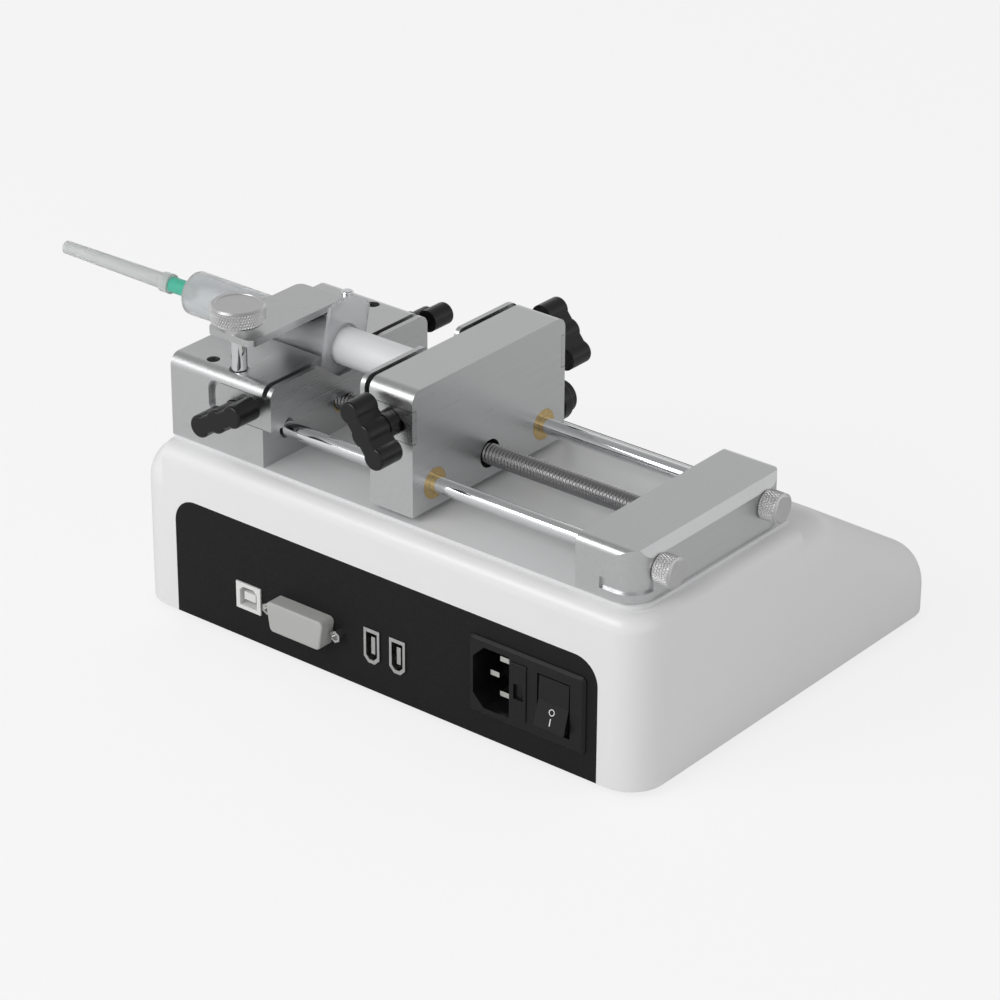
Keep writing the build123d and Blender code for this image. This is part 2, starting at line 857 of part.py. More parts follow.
def fuse_drawer():
    """Drawer with a pocket for the fuse and a finger groove."""
    half, rise = fuse_drawer_width / 2, fuse_drawer_height / 2
    back, front = inlet_face_y - fuse_drawer_depth, inlet_face_y + fuse_drawer_proud
    drawer = span_box((fuse_x - half, fuse_x + half), (back, front), (inlet_z - rise, inlet_z + rise))
    drawer = fillet(drawer.faces().sort_by(Axis.Y)[-1].edges(), fuse_drawer_edge)
    room, reach = fuse_radius + fit_gap, fuse_length / 2 + fit_gap
    pocket_y = (fuse_y - room, fuse_y + room)
    drawer -= span_box((fuse_x - room, fuse_x + half + 1), pocket_y, (inlet_z - reach, inlet_z + reach))
    grip = fuse_grip_height / 2
    grip_x = (fuse_x - half + fuse_grip_margin, fuse_x + half - fuse_grip_margin)
    return drawer - span_box(grip_x, (front - fuse_grip_depth, front + 1), (inlet_z - grip, inlet_z + grip))


def fuse():
    """Fuse lying in the drawer."""
    return bar_z(fuse_radius, inlet_z - fuse_length / 2, inlet_z + fuse_length / 2, fuse_x, fuse_y)


def rocker_switch():
    """Two-position rocker on its pivot, with the lower half standing out."""
    half, tip, back = rocker_half_height, rocker_tip, rocker_back
    points = [
        (tip, half),
        (rocker_middle, 0),
        (tip, -half),
        (-rocker_heel, -half + rocker_taper),
        (-back, -half / 2),
        (-back, half / 2),
        (-rocker_heel, half - rocker_taper),
    ]
    reach = rocker_width / 2 + rocker_pivot_reach
    body = side_prism(points, -rocker_width / 2, rocker_width / 2)
    body += bar_x(rocker_pivot_radius, -reach, reach, 0, 0)
    pivot_y = inlet_face_y - rocker_pivot_depth
    return Pos(rocker_x, pivot_y, inlet_z) * Rot(rocker_tilt, 0, 0) * body


def touch_screen():
    """Glass over the display, in a recess of the sloped front."""
    low = glass_proud - glass_thickness
    return slope_block(glass_length, glass_height, low, glass_proud, glass_corner - fit_gap)


def display_module():
    """Display behind the glass."""
    top = glass_proud - glass_thickness
    length = glass_length - 2 * display_margin - 2 * base_gap
    height = glass_height - 2 * display_margin - 2 * base_gap
    return slope_block(length, height, top - display_depth, top)


def board_limits():
    """Board edges along X and Y."""
    back = panel_inner_y - board_back_gap
    x = (board_x - board_length / 2, board_x + board_length / 2)
    return x, (back - board_depth, back)


def standoff_places():
    """Standoffs under the corners of the board."""
    x, y = board_limits()
    inset = standoff_inset
    return [(a, b) for a in (x[0] + inset, x[1] - inset) for b in (y[0] + inset, y[1] - inset)]


def control_board():
    """Board that carries the connectors."""
    x, y = board_limits()
    board = span_box(x, y, (board_top_z - board_thickness, board_top_z))
    chip_y = (y[0] + chip_size, y[0] + 2 * chip_size)
    for number in (-1, 0, 1):
        start = board_x + number * chip_pitch - chip_size / 2
        board += span_box((start, start + chip_size), chip_y, (board_top_z, board_top_z + chip_height))
    return board


def power_supply():
    """Power supply in a slotted sheet-metal cover, standing on the base plate."""
    x = (supply_x - supply_length / 2, supply_x + supply_length / 2)
    y = (supply_y - supply_width / 2, supply_y + supply_width / 2)
    top = base_top_z + supply_height
    body = span_box(x, y, (base_top_z, top))
    body = chamfer(body.faces().sort_by(Axis.Z)[-1].edges(), supply_wall)
    slot_y = (y[0] + supply_slot_margin, y[1] - supply_slot_margin)
    for number in range(supply_slot_count):
        middle = supply_x + (number - (supply_slot_count - 1) / 2) * supply_slot_pitch
        slot_x = (middle - supply_slot_width / 2, middle + supply_slot_width / 2)
        body -= span_box(slot_x, slot_y, (top - supply_wall, top + 1))
    return body


def stepper_motor():
    """Square stepper motor with its pilot ring and the bore for the shaft."""
    half = motor_size / 2
    x = (end_face_x, end_face_x + motor_length)
    body = span_box(x, (mech_y - half, mech_y + half), (motor_z - half, motor_z + half))
    body = chamfer(body.edges().filter_by(Axis.X), motor_corner)
    body += bar_x(motor_pilot_radius, x[0] - motor_pilot, x[0], mech_y, motor_z)
    bore_x = (x[0] - motor_pilot - 1, x[0] + motor_shaft_inside + running_gap)
    return body - bar_x(motor_shaft_radius + running_gap, *bore_x, mech_y, motor_z)


def motor_bracket():
    """Bent bracket that hangs the motor under the deck."""
    half = motor_bracket_width / 2
    y = (mech_y - half, mech_y + half)
    plate = span_box((motor_bracket_x, end_face_x), y, (motor_z - motor_size / 2, bed_top_z))
    foot_x = (motor_bracket_x, motor_bracket_x + motor_bracket_foot)
    foot = span_box(foot_x, y, (bed_top_z - motor_bracket_thickness, bed_top_z))
    hole = bar_x(motor_pilot_radius + fit_gap, motor_bracket_x - 1, end_face_x + 1, mech_y, motor_z)
    return plate + foot - hole


def drive_pulley(bore, z):
    """Flanged pulley for the belt."""
    half, flange = pulley_width / 2, pulley_flange
    profile = [
        (-half, bore),
        (-half, pulley_flange_radius),
        (-half + flange, pulley_flange_radius),
        (-half + flange, pulley_radius),
        (half - flange, pulley_radius),
        (half - flange, pulley_flange_radius),
        (half, pulley_flange_radius),
        (half, bore),
    ]
    return turned_x(profile, pulley_x, mech_y, z)


def motor_shaft():
    """Shaft from the motor to its pulley."""
    return bar_x(motor_shaft_radius, pulley_x - pulley_width / 2, end_face_x + motor_shaft_inside, mech_y, motor_z)


def belt_loop(radius, x):
    """Solid loop round both pulley centres."""
    middle = span_box(x, (mech_y - radius, mech_y + radius), (motor_z, rod_z))
    return middle + bar_x(radius, *x, mech_y, motor_z) + bar_x(radius, *x, mech_y, rod_z)


def timing_belt():
    """Belt between the motor pulley and the screw pulley."""
    inner = pulley_radius + belt_gap
    half = pulley_width / 2 - pulley_flange - belt_side_gap
    x = (pulley_x - half, pulley_x + half)
    return belt_loop(inner + belt_thickness, x) - belt_loop(inner, x)


def deck_plate():
    """Metal plate on the raised bed, with the slot for the belt."""
    x = (bed_end_x + deck_margin, bed_far_x - deck_margin)
    y = (bed_front_y + deck_margin, bed_back_y - deck_margin)
    plate = span_box(x, y, (bed_top_z, deck_z))
    corner = edges_at(plate, x=x[0], y=y[1], along=Axis.Z)
    plate = fillet(corner, case_side_radius - bed_inset + deck_margin)
    slot_x = (pulley_x - belt_slot_width / 2, pulley_x + belt_slot_width / 2)
    half = pulley_flange_radius + belt_room
    return plate - span_box(slot_x, (mech_y - half, mech_y + half), (bed_top_z - 1, deck_z + 1))


def scale_strip():
    """Ruler on the deck between the screw and the front rod."""
    x = (end_face_x + ruler_end_gap, barrel_block_x - ruler_end_gap)
    middle = mech_y - ruler_offset
    return span_box(x, (middle - ruler_width / 2, middle + ruler_width / 2), (deck_z, deck_z + ruler_thickness))


def round_block(x, half_width, z0, z1, radius=block_edge_radius):
    """Block across the bed with its two upper edges rounded."""
    block = span_box(x, (mech_y - half_width, mech_y + half_width), (z0, z1))
    return fillet(edges_at(block, z=z1, along=Axis.X), radius)


def side_pocket(x, half_width, middle_z):
    """Pocket in the side of a block for a bracket ear."""
    rise = ear_height / 2 + ear_gap
    side = mech_y + half_width
    return span_box(x, (side - pocket_depth, side + 1), (middle_z - rise, middle_z + rise))


def wing_hole(x, half_width, z):
    """Hole for the shank of a wing screw."""
    side = mech_y + half_width
    return bar_y(wing_screw_radius + running_gap, side - pocket_depth - wing_screw_length, side, x, z)


def barrel_block():
    """Block with the V groove for the barrel and seats for the rods and the screw."""
    x = (barrel_block_x, bed_far_x)
    top = barrel_block_top_z
    block = round_block(x, barrel_block_side, deck_z, top)
    groove = [
        (mech_y - groove_half_width - 1, top + 1),
        (mech_y, groove_bottom_z),
        (mech_y + groove_half_width + 1, top + 1),
    ]
    block -= side_prism(groove, x[0] - 1, x[1] + 1)
    for y in rod_ys:
        block -= bar_x(rod_radius + running_gap, x[0] - 1, x[0] + rod_seat_depth, y, rod_z)
        block -= bar_x(rod_mouth_radius, x[0] - 1, x[0] + rod_mouth_depth, y, rod_z)
    block -= bar_x(screw_mouth_radius, x[0] - 1, x[0] + screw_mouth_depth, mech_y, rod_z)
    pocket_end = barrel_bracket_x + barrel_ear_length + ear_room
    pocket = side_pocket((x[0] - 1, pocket_end), barrel_block_side, barrel_ear_z)
    pocket = fillet(edges_at(pocket, x=pocket_end, along=Axis.Y), ear_corner_radius + ear_gap)
    block -= both_sides(pocket + wing_hole(wing_barrel_x, barrel_block_side, barrel_ear_z))
    block -= bar_z(clamp_post_radius + running_gap, top - clamp_hole_depth, top + 1, clamp_x, clamp_y)
    block -= bar_z(clamp_mouth_radius, top - clamp_mouth_depth, top + 1, clamp_x, clamp_y)
    block -= bar_z(spare_hole_radius, top - spare_hole_depth, top + 1, spare_hole_x, clamp_y)
    block -= bar_z(spare_hole_radius, top - spare_hole_depth, top + 1, clamp_x, far_hole_y)
    return block - bar_z(stop_pin_radius + running_gap, top - stop_pin_depth, top + 1, spare_hole_x, far_hole_y)


def stop_pin():
    """Headed pin in the far side of the block."""
    top = barrel_block_top_z
    head = bar_z(stop_pin_head_radius, top, top + stop_pin_height, spare_hole_x, far_hole_y)
    head = fillet(circles(head).sort_by(Axis.Z)[-1], stop_pin_edge)
    return head + bar_z(stop_pin_radius, top - stop_pin_depth, top, spare_hole_x, far_hole_y)


def end_outer(inset, bottom):
    """Outside of the end housing, or the same form smaller by an inset."""
    side, top = barrel_block_side - inset, end_top_z - inset
    x = (end_x + inset, end_face_x - inset)
    edge_radius = max(end_edge_radius - inset, fit_gap)
    plan = span_box(x, (mech_y - side, mech_y + side), (bottom, top))
    plan = fillet(edges_at(plan, x=x[0], along=Axis.Z), end_corner_radius - inset)
    return round_block(x, side, bottom, top, edge_radius) & plan


def end_block():
    """Hollow housing over the screw pulley, open at the bottom."""
    bevel = [
        (end_x, end_top_z - end_bevel_drop),
        (end_x + end_bevel_run, end_top_z),
        (end_x + end_bevel_run, end_top_z + end_bevel_drop),
        (end_x - end_bevel_run, end_top_z + end_bevel_drop),
        (end_x - end_bevel_run, end_top_z - end_bevel_drop),
    ]
    side = barrel_block_side + 1
    block = end_outer(0, deck_z) - back_prism(bevel, mech_y - side, mech_y + side)
    block -= end_outer(end_wall, deck_z - 1)
    slot_z = deck_z + end_slot_lift
    band_y = (mech_y + barrel_block_side - end_corner_radius, mech_y + side)
    band_z = (slot_z - end_slot_height / 2, slot_z + end_slot_height / 2)
    band = span_box((end_x - 1, end_x + end_slot_start), band_y, band_z)
    block -= band & (end_outer(0, deck_z) - end_outer(end_slot_depth, deck_z))
    for y in rod_ys:
        block -= bar_x(rod_radius + ear_gap, end_face_x - end_wall - 1, end_face_x + 1, y, rod_z)
        block -= bar_x(rod_knob_shank_radius + end_hole_gap, end_x - 1, end_x + end_wall + 1, y, rod_z)
    return block - bar_x(screw_radius + nut_clearance, end_face_x - end_wall - 1, end_face_x + 1, mech_y, rod_z)


def bearing_plate():
    """Plate on the deck that holds the rods and the screw bearing."""
    x = (bearing_plate_x, bearing_plate_x + bearing_plate_thickness)
    half = bearing_plate_width / 2
    plate = span_box(x, (mech_y - half, mech_y + half), (deck_z, end_top_z - end_wall - fit_gap))
    for y in rod_ys:
        plate -= bar_x(rod_radius + running_gap, x[0] - 1, x[1] + 1, y, rod_z)
    plate -= bar_x(bearing_radius + running_gap, x[1] - bearing_width, x[1] + 1, mech_y, rod_z)
    return plate - bar_x(journal_radius + bearing_step, x[0] - 1, x[1], mech_y, rod_z)


def sleeve(radius, bore, x0, x1, y):
    """Round sleeve along X at the height of the rods."""
    return bar_x(radius, x0, x1, y, rod_z) - bar_x(bore, x0 - 1, x1 + 1, y, rod_z)


def screw_bearings():
    """Bearing in the plate and sleeve in the barrel block."""
    plate_end = bearing_plate_x + bearing_plate_thickness
    journal_bore = journal_radius + running_gap
    bearing = sleeve(bearing_radius, journal_bore, plate_end - bearing_width, plate_end, mech_y)
    start = barrel_block_x + sleeve_setback
    outer = screw_mouth_radius - running_gap
    return as_group([bearing, sleeve(outer, screw_radius + running_gap, start, start + sleeve_length, mech_y)])


def guide_rods():
    """Two rods from the end housing to the barrel block, drilled at the end for the knurled screws."""
    made = []
    drilling = rod_knob_shank_radius + running_gap
    for y in rod_ys:
        rod = bar_x(rod_radius, rod_start_x, barrel_block_x + rod_seat_depth, y, rod_z)
        made.append(rod - bar_x(drilling, rod_start_x - 1, end_x + rod_knob_shank + drilling_gap, y, rod_z))
    return as_group(made)


def rod_end_knob(y):
    """Knurled screw on the end of a rod."""
    profile = [
        (0, 0),
        (0, rod_knob_radius - rod_knob_chamfer),
        (rod_knob_chamfer, rod_knob_radius),
        (rod_knob_length - rod_knob_chamfer, rod_knob_radius),
        (rod_knob_length, rod_knob_radius - rod_knob_chamfer),
        (rod_knob_length, rod_knob_shank_radius),
        (rod_knob_length + rod_knob_shank, rod_knob_shank_radius),
        (rod_knob_length + rod_knob_shank, 0),
    ]
    return turned_x(profile, end_x - rod_knob_length, y, rod_z)


def lead_screw():
    """Screw with a thinner journal through the bearing and the pulley."""
    shoulder = end_face_x - end_wall + fit_gap
    journal = bar_x(journal_radius, pulley_x - pulley_width / 2, shoulder, mech_y, rod_z)
    return journal + bar_x(screw_radius, shoulder, barrel_block_x + screw_mouth_depth - 1, mech_y, rod_z)


def yoke_limits(gap):
    """The yoke's faces along X, in the middle of the carriage."""
    half = yoke_thickness / 2 + gap
    return (carriage_mid_x - half, carriage_mid_x + half)


def carriage_block():
    """Block that the screw drives along the rods, with a channel for the release yoke."""
    x = (carriage_back_x, carriage_x)
    through = (x[0] - 1, x[1] + 1)
    block = round_block(x, carriage_side, carriage_z, carriage_top_z)
    for y in rod_ys:
        block -= bar_x(bush_radius + running_gap, *through, y, rod_z)
    block -= bar_x(screw_clear_radius, *through, mech_y, rod_z)
    rise = yoke_height / 2 + yoke_gap
    channel_y = (mech_y - carriage_side - 1, mech_y + yoke_reach + button_travel + nut_clearance)
    block -= span_box(yoke_limits(yoke_gap), channel_y, (rod_z - rise, rod_z + rise))
    pocket = side_pocket(through, carriage_side, carriage_ear_z)
    return block - both_sides(pocket + wing_hole(wing_carriage_x, carriage_side, carriage_ear_z))


def guide_bushes():
    """Four short bushes, two on each rod."""
    made = []
    for y in rod_ys:
        for start in (carriage_back_x, carriage_x - bush_length):
            made.append(sleeve(bush_radius, rod_radius + running_gap, start, start + bush_length, y))
    return as_group(made)


def half_nut():
    """Half nut that lies against the far side of the screw."""
    rise = yoke_height / 2 - yoke_arm_height
    x = yoke_limits(0)
    block = span_box(x, (mech_y + nut_face_gap, mech_y + yoke_reach), (rod_z - rise, rod_z + rise))
    return block - bar_x(screw_radius + nut_engage_gap, x[0] - 1, x[1] + 1, mech_y, rod_z)


def release_button():
    """Stepped button on the yoke that carries the half nut round the screw and the front rod."""
    rise = yoke_height / 2
    x = yoke_limits(0)
    through = (x[0] - 1, x[1] + 1)
    base_end = mech_y - carriage_side - button_travel - nut_clearance
    yoke = span_box(x, (base_end, mech_y + yoke_reach), (rod_z - rise, rod_z + rise))
    inner = rise - yoke_arm_height
    window_y = (mech_y - screw_radius - nut_clearance - button_travel, mech_y + yoke_reach + 1)
    yoke -= span_box(through, window_y, (rod_z - inner, rod_z + inner))
    hole = rod_radius + nut_clearance
    slot_y = (rod_ys[1] - hole - button_travel, rod_ys[1] + hole)
    yoke -= span_box(through, slot_y, (rod_z - hole, rod_z + hole))
    base_start = base_end - button_base_length
    groove_start = base_start - button_groove_width
    base = bar_y(button_radius, base_start, base_end, carriage_mid_x, rod_z)
    base = fillet(circles(base), button_base_edge)
    groove = bar_y(button_groove_radius, groove_start, base_start, carriage_mid_x, rod_z)
    cap = bar_y(button_cap_radius, groove_start - button_cap_length, groove_start, carriage_mid_x, rod_z)
    return yoke + base + groove + fillet(circles(cap).sort_by(Axis.Y)[0], button_cap_edge)


def bracket_ear(half_width, z, x):
    """Bracket ear along the side of a block."""
    side = mech_y + half_width
    return span_box(x, (side - bracket_thickness, side), (z - ear_height / 2, z + ear_height / 2))


def bracket_slot(half_width, z, ends):
    """Slot through an ear, for its wing screw."""
    side = mech_y + half_width
    radius = wing_screw_radius + ear_gap
    y = (side - bracket_thickness - 1, side + 1)
    slot = span_box(ends, y, (z - radius, z + radius))
    for end in ends:
        slot += bar_y(radius, *y, end, z)
    return slot


def barrel_bracket():
    """Bent bracket before the barrel block, notched for the plunger."""
    x = (barrel_bracket_x, barrel_bracket_x + bracket_thickness)
    side, top = barrel_block_side, barrel_block_top_z
    low, high = deck_z + barrel_bracket_band_low, deck_z + barrel_bracket_band_high
    ear_low = barrel_ear_z - ear_height / 2
    notch, floor, floor_z = barrel_notch_half_width, barrel_notch_floor_half_width, top - barrel_notch_drop
    half = [
        (floor, floor_z),
        (notch, top),
        (side, top),
        (side, ear_low),
        (bracket_rise_start, ear_low),
        (bracket_rise_end, high),
        (bracket_dip_start, high),
        (bracket_dip_end, low),
    ]
    outline = half + [(-y, z) for y, z in reversed(half)]
    plate = side_prism([(mech_y + y, z) for y, z in outline], *x)
    rounds = (
        (side, top, block_edge_radius),
        (notch, top, barrel_notch_shoulder_radius),
        (floor, floor_z, barrel_notch_floor_radius),
    )
    for offset, z, radius in rounds:
        for y in (mech_y - offset, mech_y + offset):
            plate = fillet(edges_at(plate, y=y, z=z, along=Axis.X), radius)
    ear_x = (x[0], x[0] + barrel_ear_length)
    ear = bracket_ear(side, barrel_ear_z, ear_x)
    ear = fillet(edges_at(ear, x=ear_x[1], along=Axis.Y), ear_corner_radius)
    ends = (wing_barrel_x, wing_barrel_x + bracket_travel)
    return plate + both_sides(ear) - both_sides(bracket_slot(side, barrel_ear_z, ends))


def plunger_bracket():
    """Bent bracket on the carriage, with a slot open at the top for the plunger."""
    x = (plunger_bracket_x, plunger_bracket_x + bracket_thickness)
    side, top = carriage_side, carriage_top_z
    ear_low = carriage_ear_z - ear_height / 2
    low = syringe_z - plunger_bracket_drop
    half_low = plunger_bracket_low_half_width
    half = [(side, top), (side, ear_low), (half_low + ear_low - low, ear_low), (half_low, low)]
    outline = half + [(-y, z) for y, z in reversed(half)]
    plate = side_prism([(mech_y + y, z) for y, z in outline], *x)
    plate = fillet(edges_at(plate, z=top, along=Axis.X).sort_by(Axis.Y)[0], block_edge_radius)
    plate = fillet(edges_at(plate, y=mech_y + side, z=top, along=Axis.X), block_edge_radius)
    slot = plunger_radius + plunger_slot_gap
    through = (x[0] - 1, x[1] + 1)
    plate -= span_box(through, (mech_y - slot, mech_y + slot), (syringe_z, top + 1))
    plate -= bar_x(slot, *through, mech_y, syringe_z)
    for y in (mech_y - slot, mech_y + slot):
        plate = fillet(edges_at(plate, y=y, z=top, along=Axis.X), plunger_slot_edge_radius)
    ear = bracket_ear(side, carriage_ear_z, (x[1] - carriage_ear_length, x[1]))
    ends = (wing_carriage_x - bracket_travel, wing_carriage_x)
    return plate + both_sides(ear) - both_sides(bracket_slot(side, carriage_ear_z, ends))


def wing_screw(x, z, side_y, outward, angle):
    """Wing screw: a two-lobed grip on a boss, with its shank into the block."""
    reach = wing_half_length - wing_tip_radius
    grip = Cylinder(wing_waist_radius, wing_thickness) + Box(2 * reach, wing_web, wing_thickness)
    for place in (-reach, reach):
        grip += Pos(place, 0, 0) * Cylinder(wing_tip_radius, wing_thickness)
    grip = fillet(grip.faces().sort_by(Axis.Z)[-1].edges(), wing_edge)
    boss = Pos(0, 0, wing_boss_height / 2) * Cylinder(wing_boss_radius, wing_boss_height)
    inside = wing_gap + pocket_depth + wing_screw_length - wing_tip_gap
    shank = Pos(0, 0, -inside / 2) * Cylinder(wing_screw_radius, inside)
    knob = Pos(0, 0, wing_boss_height + wing_thickness / 2) * grip + boss + shank
    return Pos(x, side_y + outward * wing_gap, z) * Rot(0, angle, 0) * Rot(-90 * outward, 0, 0) * knob


def wing_screws():
    """The four wing screws by name."""
    made = {}
    places = {
        "barrel": (wing_barrel_x, barrel_ear_z, barrel_block_side, barrel_wing_angle),
        "carriage": (wing_carriage_x, carriage_ear_z, carriage_side, carriage_wing_angle),
    }
    for block, (x, z, half_width, angle) in places.items():
        for side, outward in (("back", 1), ("front", -1)):
            side_y = mech_y + outward * half_width
            made[f"{block}_wing_screw_{side}"] = wing_screw(x, z, side_y, outward, angle)
    return made


def clamp_post():
    """Post that lifts in the barrel block and carries the clamp plate on its shoulder."""
    post = bar_z(clamp_post_radius, barrel_block_top_z - clamp_post_depth, clamp_plate_z, clamp_x, clamp_y)
    tip = bar_z(clamp_post_tip_radius, clamp_plate_z, clamp_plate_z + clamp_post_in_knob, clamp_x, clamp_y)
    return post + tip


def clamp_plate():
    """Plate that reaches from the post over the barrel."""
    half = clamp_plate_width / 2
    y = (clamp_y - clamp_plate_front, clamp_y + clamp_plate_back)
    z = (clamp_plate_z, clamp_plate_z + clamp_plate_thickness)
    plate = span_box((clamp_x - half, clamp_x + half), y, z)
    plate = fillet(plate.edges().filter_by(Axis.Z), clamp_plate_corner)
    return plate - bar_z(clamp_post_tip_radius + running_gap, z[0] - 1, z[1] + 1, clamp_x, clamp_y)


def clamp_pad():
    """Rubber pad under the plate, above the barrel."""
    length, width = clamp_pad_length / 2, clamp_pad_width / 2
    z = (clamp_plate_z - clamp_pad_thickness, clamp_plate_z)
    pad = span_box((clamp_x - width, clamp_x + width), (mech_y - length, mech_y + length), z)
    return fillet(pad.edges().filter_by(Axis.Z), clamp_pad_corner)


def clamp_knob():
    """Knurled knob on a hub, fixed to the plate."""
    base = clamp_plate_z + clamp_plate_thickness
    knob = bar_z(clamp_knob_radius, clamp_knob_z, clamp_knob_z + clamp_knob_height, clamp_x, clamp_y)
    knob = chamfer(circles(knob), clamp_knob_chamfer) + bar_z(clamp_hub_radius, base, clamp_knob_z, clamp_x, clamp_y)
    drilled_to = clamp_plate_z + clamp_post_in_knob + drilling_gap
    return knob - bar_z(clamp_post_tip_radius + running_gap, base - 1, drilled_to, clamp_x, clamp_y)


def syringe_barrel():
    """Open tube with a finger flange and a nozzle."""
    bore = barrel_radius - barrel_wall
    length = barrel_length
    profile = [
        (0, bore),
        (0, barrel_radius),
        (length - barrel_shoulder, barrel_radius),
        (length, barrel_radius - barrel_shoulder),
        (length, nozzle_radius),
        (length + nozzle_length, nozzle_radius - nozzle_taper),
        (length + nozzle_length, nozzle_bore),
        (length - barrel_floor, nozzle_bore),
        (length - barrel_floor, bore),
    ]
    tube = turned_x(profile, barrel_flange_x, mech_y, syringe_z)
    flange = Box(barrel_flange_thickness, 2 * barrel_flange_half_width, 2 * barrel_flange_half_length)
    flange &= Rot(0, 90, 0) * Cylinder(barrel_flange_half_length, barrel_flange_thickness)
    flange -= Rot(0, 90, 0) * Cylinder(bore, 3 * barrel_flange_thickness)
    middle = barrel_flange_x + barrel_flange_thickness / 2
    return tube + Pos(middle, mech_y, syringe_z) * Rot(barrel_flange_angle, 0, 0) * flange


def plunger():
    """Plunger rod with its thumb disc."""
    back = stopper_front_x - stopper_length
    profile = [
        (plunger_head_x, 0),
        (plunger_head_x, plunger_head_radius),
        (plunger_head_x + plunger_head_thickness, plunger_head_radius),
        (plunger_head_x + plunger_head_thickness, plunger_radius),
        (back, plunger_radius),
        (back, 0),
    ]
    return turned_x(profile, 0, mech_y, syringe_z)


def plunger_stopper():
    """Rubber stopper with two sealing ribs and a blunt cone."""
    radius = barrel_radius - barrel_wall - running_gap
    waist = radius - stopper_rib_depth
    length, rib, cone = stopper_length, stopper_rib_width, stopper_cone
    profile = [
        (-length, 0),
        (-length, radius),
        (-length + rib, radius),
        (-length + rib, waist),
        (-cone - rib, waist),
        (-cone - rib, radius),
        (-cone, radius),
        (0, stopper_nose_radius),
        (0, 0),
    ]
    return turned_x(profile, stopper_front_x, mech_y, syringe_z)


def needle_hub():
    """Coloured hub on the nozzle."""
    length, front = hub_length, hub_front_length
    socket_end = nozzle_length - hub_setback + hub_socket_gap
    needle_bore = needle_radius + running_gap
    profile = [
        (0, nozzle_radius + running_gap),
        (0, hub_flange_radius),
        (hub_flange_width, hub_flange_radius),
        (hub_flange_width, hub_radius),
        (length - front, hub_radius),
        (length - front, hub_front_radius),
        (length, hub_front_radius),
        (length, needle_bore),
        (length - needle_in_hub, needle_bore),
        (length - needle_in_hub, nozzle_bore),
        (socket_end, nozzle_bore),
        (socket_end, nozzle_radius + running_gap),
    ]
    return turned_x(profile, hub_x, mech_y, syringe_z)


def needle():
    """Needle from the hub."""
    return bar_x(needle_radius, hub_front_x - needle_in_hub, hub_front_x + needle_length, mech_y, syringe_z)


def needle_cap():
    """Cap over the needle, with a collar at its mouth."""
    wall, taper_start, tip = cap_wall, cap_collar_length + cap_collar_slope, cap_tip_round
    profile = [
        (0, hub_front_radius + cap_mouth_gap),
        (0, cap_collar_radius),
        (cap_collar_length, cap_collar_radius),
        (taper_start, cap_base_radius),
        (cap_length - tip, cap_tip_radius),
        (cap_length, cap_tip_radius - tip),
        (cap_length, 0),
        (cap_length - wall, 0),
        (cap_length - wall, cap_tip_radius - tip - wall / 2),
        (cap_length - tip - wall / 2, cap_tip_radius - wall),
        (taper_start, cap_base_radius - wall),
    ]
    return turned_x(profile, cap_x, mech_y, syringe_z)


def all_parts():
    """Every piece of the pump by name."""
    parts = {
        "case_shell": case_shell(),
        "base_plate": base_plate(),
        "feet": feet(),
        "base_screws": base_screws(),
        "rear_panel": rear_panel(),
        "usb_port": usb_port(),
        "data_connector": data_connector(),
        "jack_screws": jack_screws(),
        "dust_cover": dust_cover(),
        "bus_ports": bus_ports(),
        "inlet_body": inlet_body(),
        "inlet_pins": as_group(inlet_pins()),
        "fuse_drawer": fuse_drawer(),
        "fuse": fuse(),
        "rocker_switch": rocker_switch(),
        "touch_screen": touch_screen(),
        "display_module": display_module(),
        "control_board": control_board(),
        "power_supply": power_supply(),
        "stepper_motor": stepper_motor(),
        "motor_shaft": motor_shaft(),
        "motor_bracket": motor_bracket(),
        "motor_pulley": drive_pulley(motor_shaft_radius, motor_z),
        "screw_pulley": drive_pulley(journal_radius, rod_z),
        "timing_belt": timing_belt(),
        "deck_plate": deck_plate(),
        "scale_strip": scale_strip(),
        "barrel_block": barrel_block(),
        "stop_pin": stop_pin(),
        "end_block": end_block(),
        "bearing_plate": bearing_plate(),
        "screw_bearings": screw_bearings(),
        "guide_rods": guide_rods(),
        "rod_end_knob_back": rod_end_knob(rod_ys[0]),
        "rod_end_knob_front": rod_end_knob(rod_ys[1]),
        "lead_screw": lead_screw(),
        "carriage_block": carriage_block(),
        "guide_bushes": guide_bushes(),
        "half_nut": half_nut(),
        "release_button": release_button(),
        "barrel_bracket": barrel_bracket(),
        "plunger_bracket": plunger_bracket(),
        "clamp_post": clamp_post(),
        "clamp_plate": clamp_plate(),
        "clamp_pad": clamp_pad(),
        "clamp_knob": clamp_knob(),
        "syringe_barrel": syringe_barrel(),
        "plunger": plunger(),
        "plunger_stopper": plunger_stopper(),
        "needle_hub": needle_hub(),
        "needle": needle(),
        "needle_cap": needle_cap(),
    }
    parts.update(wing_screws())
    return parts


if __name__ == "__main__":
    os.makedirs("parts", exist_ok=True)
    for name, shape in all_parts().items():
        export_step(shape, f"parts/{name}.step")
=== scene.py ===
import bpy
import numpy as np
from mathutils import Matrix, Vector


